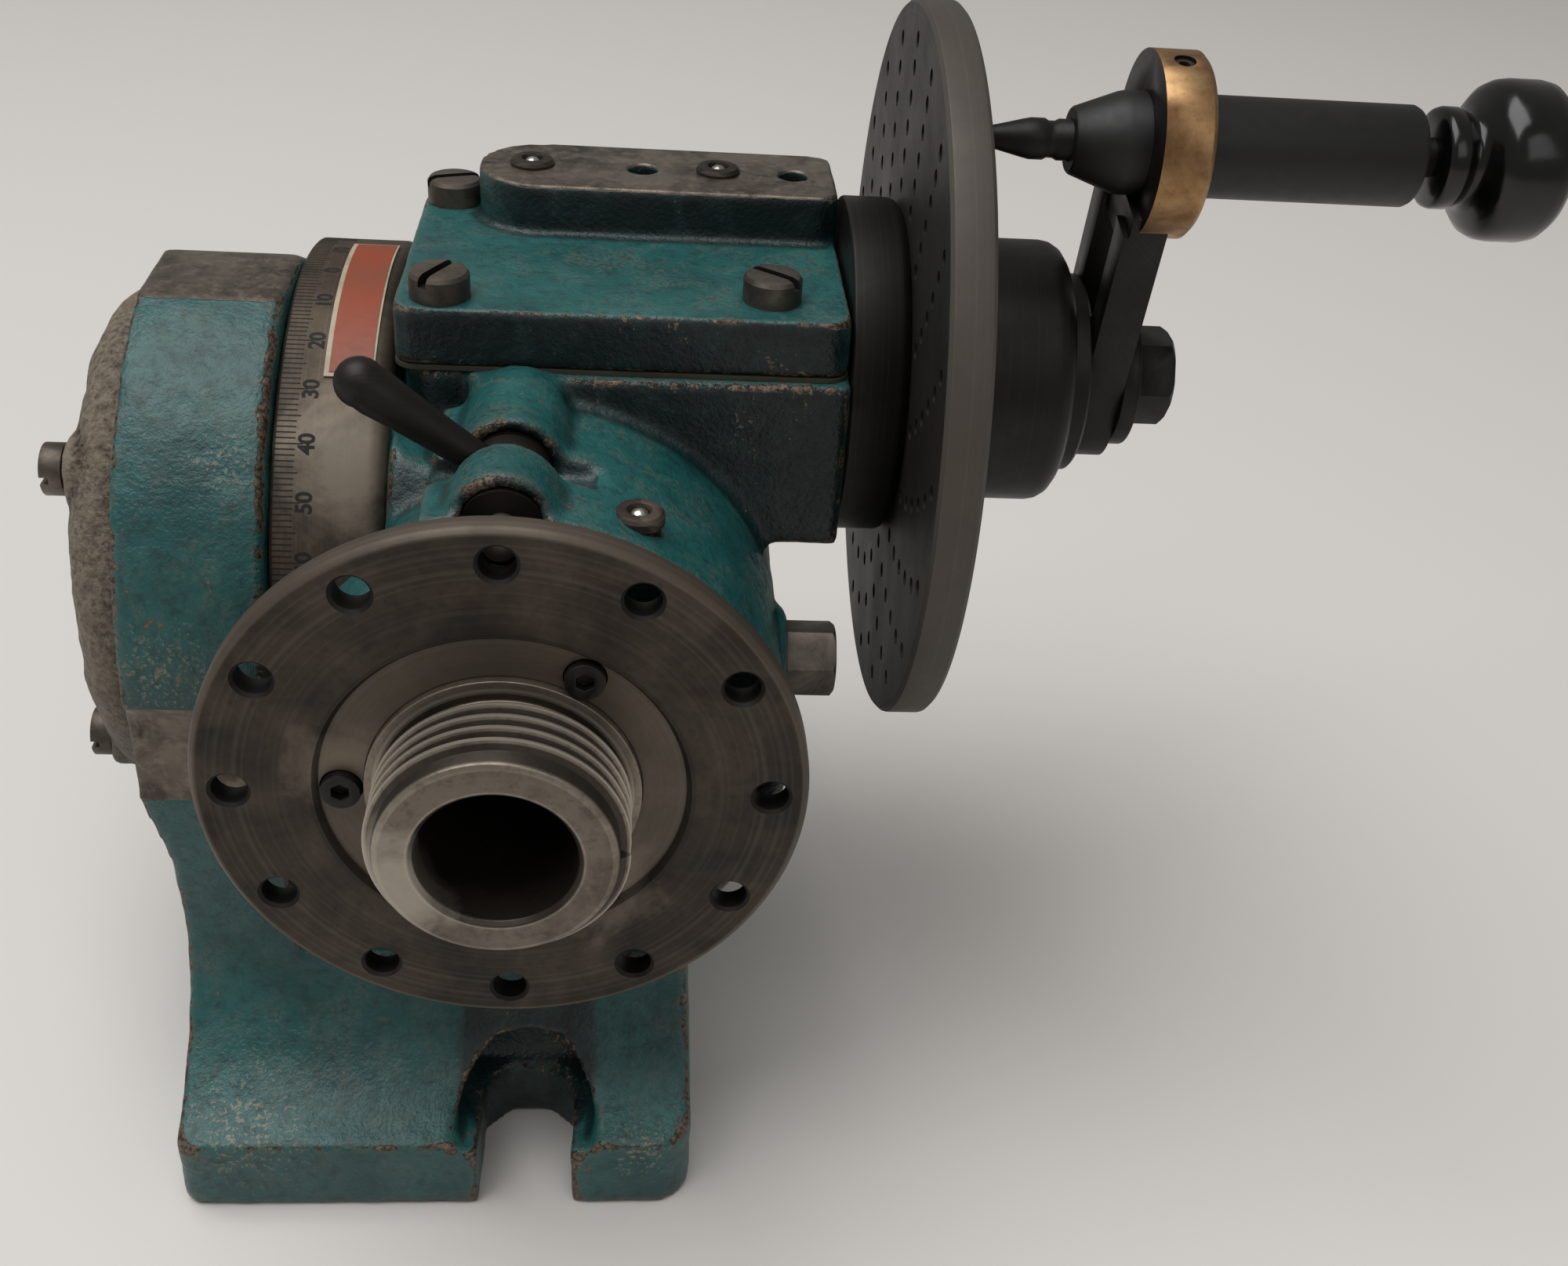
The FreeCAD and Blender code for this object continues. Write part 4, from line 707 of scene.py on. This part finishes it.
@dataclass
class Housing:
    """The tilting head casting, its cover with the oilers, and what is screwed to them."""

    screw_spots: tuple[tuple[float, float], ...] = ((-14.5, -25.0), (46.0, -21.0), (-16.5, 24.5))
    oilers: tuple[tuple[float, float, float, float], ...] = ((-0.5, 20.0, 75.4, 1.0), (36.7, 20.0, 75.4, 1.0), (22.3, -68.0, 45.4, 8.0))
    head_r: float = 5.5

    def build(self) -> None:
        """Makes the castings and their small pieces."""
        # Painted shade: the head is darkened on faces that look to the front (1.2), as the worm housing's front under
        # the direct plate, and down (0.8); the cover likewise (1.0, 0.8), and inside its two holes.
        Casting(1.1, 3, 0.16, (), 1.2, 0.8).skin("head_casting", "head_housing", PAINT_HEAD, "head")
        Casting(0.75, 3, 0.14, (Flat((0.0, 0.0, 1.0), 74.9),), 1.0, 0.8, ((21.5, 20.0, 5.5, 75.2, 0.5), (51.9, 20.0, 5.5, 75.2, 0.5))).skin("worm_cover", "cover_plate", PAINT_COVER, "head")
        Casting(1.2, 3, 0.1).skin("rear_cap", "rear_bearing_cap", PAINT_CAP, "head")
        for index, (x, y) in enumerate(self.screw_spots):
            self.screw(index, x, y)
        for index, (x, y, z, deep) in enumerate(self.oilers):
            self.oiler(index, x, y, z, deep)

    def screw(self, index: int, x: float, y: float) -> None:
        """Makes one cheese-head screw with its slot."""
        seat = CENTRE + 65.7 - 0.4
        r = self.head_r
        bm = bmesh.new()
        turned(bm, Line.Z, (x, y, 0), [(seat - 6, 0), (seat - 6, 3), (seat, 3), (seat, r), (seat + 4.4, r), (seat + 5.1, r - 0.5),
                                       (seat + 5.45, r - 1.6), (seat + 5.5, 0)], 48)
        obj = piece(f"cover_screw_{index}", bm, SCREW_STEEL, "head", ("cover_screws",) if index == 0 else ())
        cut = bmesh.new()
        turn = Matrix.Translation(Vector((x, y, seat + 5.0)) * MM) @ Matrix.Rotation(math.radians((62, -38, 20)[index]), 4, "Z")
        bmesh.ops.create_cube(cut, size=1.0, matrix=turn @ Matrix.Diagonal((14 * MM, 1.7 * MM, 3.2 * MM, 1)))
        bored(obj, cut, HOLE_BLACK)
        obj.data.set_sharp_from_angle(angle=math.radians(30))

    def oiler(self, index: int, x: float, y: float, z: float, deep: float) -> None:
        """Makes one ball oiler: a flanged cup, its foot so deep, with a bright ball."""
        top = CENTRE + z
        bm = bmesh.new()
        turned(bm, Line.Z, (x, y, 0), [(top - deep, 1.9), (top - deep, 3.0), (top - 1, 3.0), (top - 1, 4.4), (top + 0.5, 4.4), (top + 1.2, 3.9),
                                       (top + 1.45, 3.0), (top + 1.3, 2.2), (top + 0.6, 1.9)], 40)
        piece(f"oiler_cup_{index}", bm, PLATE_STEEL, "head", ("ball_oilers",) if index == 0 else ())
        bm = bmesh.new()
        bmesh.ops.create_uvsphere(bm, u_segments=24, v_segments=12, radius=1.85 * MM, matrix=Matrix.Translation(Vector((x, y, top - 0.45)) * MM))
        piece(f"oiler_ball_{index}", bm, BALL_STEEL, "head")


@dataclass
class Nose:
    """The spindle with its coarse thread, and the direct indexing plate behind it."""

    crest_r: float = 22.2
    root_r: float = 20.5
    pitch: float = 3.175
    turns: float = 4.4
    start: float = -103.6
    plate_r: float = 53.1
    holes: int = 12
    hole_r: float = 3.15
    hole_circle: float = 46.5

    def build(self) -> None:
        """Makes the spindle, its thread and the plate."""
        bm = bmesh.new()
        turned(bm, Line.Y, (0, 0, CENTRE), [
            (-104.5, 14.4), (-104.5, 19.2), (-104.0, 20.2), (-103.2, self.root_r), (-89.6, self.root_r), (-89.2, 20.0),
            (-86.7, 20.0), (-86.7, 23.9), (-81.95, 23.9), (-81.95, 34.0), (-74.7, 34.0), (-74.7, 19.0), (-13.0, 19.0),
            (-13.0, 18.5), (12.0, 18.5), (12.0, 17.0), (46.0, 17.0), (46.0, 15.5), (60.0, 15.5), (61.0, 14.5), (61.0, 10.5),
            (-2.4, 10.5), (-2.9, 11.43), (-103.6, 13.6)], 160)
        piece("bored_spindle", bm, NOSE_STEEL, "spindle", ("spindle",), 0.25)
        self.thread()
        self.plate()

    def thread(self) -> None:
        """Winds the thread's ridge along the nose."""
        bm = bmesh.new()
        p = self.pitch
        deep = self.root_r - 0.3
        section = [(0.1 * p, deep), (0.44 * p, self.crest_r), (0.56 * p, self.crest_r), (0.9 * p, deep)]
        verts = [bm.verts.new(spot(Line.Y, self.start + along, radius, (0, 0, CENTRE))) for along, radius in section]
        edges = [bm.edges.new(pair) for pair in zip(verts, verts[1:])] + [bm.edges.new((verts[-1], verts[0]))]
        steps = int(96 * self.turns)
        first = bmesh.ops.contextual_create(bm, geom=edges)["faces"]
        bmesh.ops.spin(bm, geom=verts + edges + first, cent=Vector((0, 0, CENTRE)) * MM, axis=(0, 1, 0), dvec=Vector((0, p * self.turns / steps, 0)) * MM,
                       angle=FULL * self.turns, steps=steps)
        bmesh.ops.remove_doubles(bm, verts=bm.verts, dist=1e-7)
        bmesh.ops.recalc_face_normals(bm, faces=bm.faces)
        piece("nose_thread", bm, NOSE_STEEL, "spindle", (), 0.0, 30.0)

    def plate(self) -> None:
        """Makes the round plate with its ring of holes and its recess."""
        rim = self.plate_r
        bm = bmesh.new()
        turned(bm, Line.Y, (0, 0, CENTRE), [(-85.2, 24.02), (-85.2, 31.6), (-86.3, 32.2), (-86.7, 32.6), (-86.7, rim - 0.9), (-86.2, rim - 0.3),
                                            (-85.6, rim), (-82.5, rim), (-81.9, rim - 0.6), (-81.9, 24.02)], 224)
        obj = piece("direct_index_plate", bm, PLATE_STEEL, "spindle", ("direct_plate",))
        cut = bmesh.new()
        for i in range(self.holes):
            turn = math.radians(90 + 360 / self.holes * i)
            x, z = self.hole_circle * math.cos(turn), self.hole_circle * math.sin(turn)
            r = self.hole_r
            turned(cut, Line.Y, (x, 0, CENTRE + z), [(-90, 0), (-90, r + 3.9), (-86.7, r + 0.6), (-86.1, r), (-78, r), (-78, 0)], 32)
        for i in (60, 180, 300):
            x, z = 27.8 * math.cos(math.radians(i)), 27.8 * math.sin(math.radians(i))
            drill(cut, Line.Y, (x, -86.7, CENTRE + z), 3.75, 6.0, 32)
        bored(obj, cut, HOLE_BLACK)
        obj.data.set_sharp_from_angle(angle=math.radians(28))
        tidy_copy("direct_plate_screws", "plate_cap_screws", BLACK_STEEL_Y, "spindle", 0.15)


@dataclass
class IndexSide:
    """The hub, the index plate and the clamp cup on the worm's line."""

    plate_r: float = 70.8
    circles: tuple[tuple[float, int], ...] = ((64.1, 20), (58.8, 19), (53.1, 18), (47.4, 17), (41.8, 16), (36.1, 15))
    hole_r: float = 1.6
    lean_deg: float = 13.0

    def build(self) -> None:
        """Makes the plate and the turned pieces either side of it."""
        centre = (0.0, 0.0, CENTRE + WORM_Z)
        r = self.plate_r
        bm = bmesh.new()
        turned(bm, Line.X, centre, [(72.2, 18.01), (72.2, r - 0.8), (72.9, r - 0.1), (73.3, r), (79.1, r), (79.5, r - 0.1), (80.2, r - 0.8),
                                    (80.2, 18.01)], 256)
        obj = piece("hole_circle_plate", bm, INDEX_STEEL, "head", ("index_plate",))
        cut = bmesh.new()
        for radius, count in self.circles:
            for i in range(count):
                turn = math.radians(self.lean_deg + 360.0 * i / count)
                drill(cut, Line.X, (76.2, -radius * math.sin(turn), centre[2] + radius * math.cos(turn)), self.hole_r, 12, 16)
        bored(obj, cut, HOLE_BLACK)
        obj.data.set_sharp_from_angle(angle=math.radians(28))
        bm = bmesh.new()
        turned(bm, Line.X, centre, [(20, 6.54), (20, 9.1), (61, 9.1), (61, 33.0), (61.4, 33.4), (70.2, 33.4), (71.2, 33.0), (72.2, 31.8),
                                    (72.2, 18), (80.2, 18), (80.2, 6.54)], 128)
        piece("index_hub_flange", bm, BLACK_STEEL, "head", ("index_hub",), 0.2)
        bm = bmesh.new()
        turned(bm, Line.X, centre, [(80.5, 22.4), (80.5, 26.1), (80.8, 26.4), (101.5, 26.4), (103.2, 26.1), (104.7, 25.2), (105.7, 23.8),
                                    (106, 22.0), (106, 6.0), (82, 6.0), (82, 22.4)], 128)
        piece("clamp_sleeve", bm, BLACK_STEEL, "crank", ("clamp_cup",), 0.2)
        bm = bmesh.new()
        turned(bm, Line.X, centre, [(106, 6), (106, 19.7), (106.3, 20), (109.4, 20), (110, 19.4), (110, 6)], 96)
        piece("thin_spacer", bm, BLACK_STEEL, "crank", ("spacer_disc",), 0.1)


@dataclass
class Handle:
    """The crank arm and the sprung handle that stands in its eye."""

    crank_r: float = 53.1
    lean_deg: float = 13.0

    @property
    def centre(self) -> tuple[float, float, float]:
        """A point on the handle's line, mm."""
        turn = math.radians(self.lean_deg)
        return (0.0, -self.crank_r * math.sin(turn), CENTRE + WORM_Z + self.crank_r * math.cos(turn))

    def build(self) -> None:
        """Makes the arm, the eye, the barrel, the pin and the knob."""
        arm = tidy_copy("crank_arm", "slotted_crank_arm", BLACK_STEEL, "crank", 0.35)
        arm.data.materials.append(EYE_BRONZE.material())
        mid = Vector(self.centre) * MM
        for face in arm.data.polygons:
            away = math.hypot(face.center.y - mid.y, face.center.z - mid.z)
            if face.center.x > 112.3 * MM and away > 15.9 * MM and away < 17.0 * MM:
                face.material_index = 1
        bm = bmesh.new()
        turned(bm, Line.X, self.centre, [(99.4, 3.8), (99.4, 5.7), (99.8, 6.1), (107.6, 9.0), (109.0, 9.3), (122, 9.3), (122.3, 9.25), (163.2, 9.25),
                                         (164.1, 8.8), (164.4, 8.0), (164.4, 3.75), (152, 3.75), (152, 6.6), (116, 6.6), (116, 3.8)], 96)
        piece("handle_sleeve", bm, BARREL_BLACK, "crank", ("handle_barrel",), 0.12)
        bm = bmesh.new()
        turned(bm, Line.X, self.centre, [(80.5, 0), (80.5, 1.2), (80.8, 1.4), (82.0, 1.5), (86, 2.3), (90.5, 3.4), (92, 3.72), (94.5, 3.72), (95.2, 3.3),
                                         (96.4, 3.3), (97.2, 3.72), (117, 3.72), (117, 6.4), (121, 6.4), (121, 3.62), (176, 3.62), (176, 0)], 64)
        piece("sprung_pin", bm, BLACK_STEEL, "pin", ("index_pin",), 0.1)
        bm = bmesh.new()
        turned(bm, Line.X, self.centre, [
            (168.0, 3.62), (168.0, 8.3), (168.4, 9.0), (169.2, 9.3), (171.6, 9.3), (172.6, 8.9), (173.6, 8.3), (174.6, 8.6), (175.4, 10.2),
            (176.2, 12.2), (177.4, 13.7), (179.0, 14.5), (181.0, 14.8), (186.4, 14.8), (188.4, 14.4), (189.9, 13.2), (190.8, 11.4), (191.1, 9.2),
            (190.7, 7.2), (190.3, 5.0), (190.2, 0)], 96, closed=False)
        piece("finger_knob", bm, KNOB_BLACK, "pin", ("pin_knob",), 0.0, 60.0)


@dataclass
class Plunger:
    """The direct plunger, and the lever that draws it back."""

    lever_deg: float = 144.0
    centre_z: float = 46.5

    def build(self) -> None:
        """Makes the lever and the plunger."""
        out = Vector((math.cos(math.radians(self.lever_deg)), 0, math.sin(math.radians(self.lever_deg))))
        start = Vector((0, -58.75, CENTRE + self.centre_z))
        bm = bmesh.new()
        profile = [(4.0, 0), (4.0, 3.0), (8.0, 2.95), (14.0, 3.2), (22.0, 3.75), (27.0, 4.25)]
        profile += [(29.7 + 4.35 * math.sin(a), 4.35 * math.cos(a)) for a in np.linspace(-0.3, math.pi / 2, 9)]
        turned(bm, Line.X, (0, 0, 0), profile, 48, closed=False)
        turn = Vector((1, 0, 0)).rotation_difference(out).to_matrix().to_4x4()
        bmesh.ops.transform(bm, matrix=Matrix.Translation(start * MM) @ turn, verts=bm.verts)
        bmesh.ops.recalc_face_normals(bm, faces=bm.faces)
        piece("lever_finger", bm, BLACK_STEEL_Y, "lever", ("plunger_lever",))
        bm = bmesh.new()
        turned(bm, Line.Y, (0, 0, CENTRE + self.centre_z), [(-62.5, 4.54), (-62.5, 6.7), (-62.2, 7.0), (-55.3, 7.0), (-55.0, 6.7), (-55.0, 4.54)], 64)
        piece("lever_hub", bm, BLACK_STEEL_Y, "lever")
        bm = bmesh.new()
        turned(bm, Line.Y, (0, 0, CENTRE + self.centre_z), [(-81.5, 0), (-81.5, 2.2), (-81.2, 2.7), (-80.3, 3.05), (-60.6, 3.05), (-60.6, 4.5), (-58.4, 4.5),
                                                            (-58.4, 3.05), (-46.0, 3.05), (-45.6, 2.65), (-38.4, 2.6), (-38, 2.2), (-38, 0)], 48)
        piece("round_plunger", bm, SCREW_STEEL, "plunger", ("direct_plunger",), 0.08)


@dataclass(frozen=True)
class Coil:
    """A coil spring between a collar that moves and a seat that doesn't."""

    node: str
    name: str
    body: str
    joint: str
    axis: tuple[float, float, float]
    travel_mm: float

    def build(self) -> None:
        """Shows the coil with a mesh of its own."""
        obj = piece(self.name, carried_over(self.node), SCREW_STEEL, self.body, (self.node,), 0.0, 60.0)
        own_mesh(obj)


@dataclass
class Springs:
    """The two coil springs, in the handle and behind the direct plunger."""

    coils: tuple[Coil, ...] = (
        Coil("pin_spring", "handle_coil", "crank", "pin_pull", (1.0, 0.0, 0.0), 8.0),
        Coil("plunger_spring", "plunger_coil", "head", "plunger_draw", (0.0, 1.0, 0.0), 6.6),
    )

    def build(self) -> None:
        """Makes both coils."""
        for coil in self.coils:
            coil.build()


@dataclass
class SmallPieces:
    """The solids that are right as they are and only need their edges broken or their finish."""

    edged: tuple[tuple[str, str, Finish, str, str, float], ...] = (
        ("lock_bolt", "spindle_lock_bolt", SCREW_STEEL, "head", "dark_steel", 0.25),
        ("crank_nut", "crank_hex_nut", BLACK_STEEL, "crank", "dark_steel", 0.3),
        ("crank_washer", "crank_round_washer", BLACK_STEEL, "crank", "dark_steel", 0.3),
        ("rear_cap_screws", "rear_cap_bolts", SCREW_STEEL, "head", "dark_steel", 0.2),
        ("spindle_nut", "rear_spindle_nut", SCREW_STEEL, "spindle", "dark_steel", 0.3),
        ("pad_screws", "pad_grub_screws", BLACK_STEEL_Y, "head", "dark_steel", 0.1),
    )

    def build(self) -> None:
        """Breaks the edges of some and gives every other solid its finish."""
        for node, name, finish, body, slot, size in self.edged:
            tidy_copy(node, name, finish, body, size)
        # Among these, the plunger guides take near-black steel so that the plunger boss's slot reads dark: painted
        # shade.
        inner = {
            "front_bush": BUSH_BRONZE, "rear_bush": BUSH_BRONZE, "worm_left_bush": BUSH_BRONZE, "plunger_guides": BLACK_STEEL_Y,
            "lock_pad": BUSH_BRONZE, "worm_wheel": BUSH_BRONZE, "cover_gasket": BOARD, "worm_shaft": NOSE_STEEL,
        }
        for name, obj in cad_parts.items():
            obj.data.materials.clear()
            obj.data.materials.append(inner.get(name, SCREW_STEEL).material())


@dataclass
class Room:
    """The pale bench top, the soft light and the camera."""

    floor: str = "e2deda"
    place: tuple[float, float, float] = (21.777, -319.115, 291.384)
    pitch: float = 0.585425
    yaw: float = 0.105280
    roll: float = -0.080499
    lens: float = 39.234
    ambient: float = 0.3

    def build(self) -> None:
        """Lays the floor, hangs the lamps and sets the camera."""
        bm = bmesh.new()
        bmesh.ops.create_grid(bm, x_segments=1, y_segments=1, size=3.0)
        mesh = bpy.data.meshes.new("bench_top")
        bm.to_mesh(mesh)
        bm.free()
        floor = bpy.data.objects.new("bench_top", mesh)
        floor.data.materials.append(FlatColour("painted_bench", colour=self.floor, rubbed=self.floor, rough=0.6, bump_mm=0.01).material())
        bpy.context.scene.collection.objects.link(floor)
        self.lamp("sky_panel", (-0.45, -0.1, 1.7), (0.1, 0.05, 0.0), 1.5, 25.0)
        self.lamp("front_panel", (0.6, -1.2, 1.1), (0.0, 0.0, 0.1), 0.8, 2.0)
        world = bpy.data.worlds.new("studio")
        world.use_nodes = True
        tree = world.node_tree
        back = tree.nodes["Background"]
        back.inputs["Color"].default_value = linear("e9e6e2")
        seen = add(tree, "ShaderNodeLightPath").outputs["Is Camera Ray"]
        tree.links.new(calc(tree, "ADD", calc(tree, "MULTIPLY", seen, 0.6), self.ambient), back.inputs["Strength"])
        bpy.context.scene.world = world
        bpy.context.scene.view_settings.view_transform = "Standard"
        self.camera()

    def lamp(self, name: str, place: tuple[float, float, float], target: tuple[float, float, float], size: float, power: float) -> None:
        """Hangs one square soft lamp."""
        data = bpy.data.lights.new(name, "AREA")
        data.energy = power
        data.size = size
        lamp = bpy.data.objects.new(name, data)
        lamp.location = place
        lamp.rotation_euler = (Vector(target) - Vector(place)).to_track_quat("-Z", "Y").to_euler()
        bpy.context.scene.collection.objects.link(lamp)

    def camera(self) -> None:
        """Sets the camera where it stood."""
        cp, sp, cy, sy = math.cos(self.pitch), math.sin(self.pitch), math.cos(self.yaw), math.sin(self.yaw)
        ahead = Vector((sy * cp, cy * cp, -sp))
        right = Vector((cy, -sy, 0))
        down = ahead.cross(right)
        across = right * math.cos(self.roll) + down * math.sin(self.roll)
        below = down * math.cos(self.roll) - right * math.sin(self.roll)
        turn = Matrix((across, -below, -ahead)).transposed().to_4x4()
        data = bpy.data.cameras.new("camera")
        data.lens = self.lens
        data.sensor_width = 36.0
        data.clip_start = 0.01
        camera = bpy.data.objects.new("camera", data)
        camera.matrix_world = Matrix.Translation(Vector(self.place) * MM) @ turn
        bpy.context.scene.collection.objects.link(camera)
        bpy.context.scene.camera = camera


def main() -> None:
    """Builds every sub-assembly in order."""
    logging.basicConfig(level=logging.INFO, format="%(message)s")
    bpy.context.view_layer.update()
    for part in (SmallPieces(), Stand(), Drum(), Housing(), Nose(), IndexSide(), Handle(), Plunger(), Springs(), Room()):
        part.build()


if __name__ == "__main__":
    main()
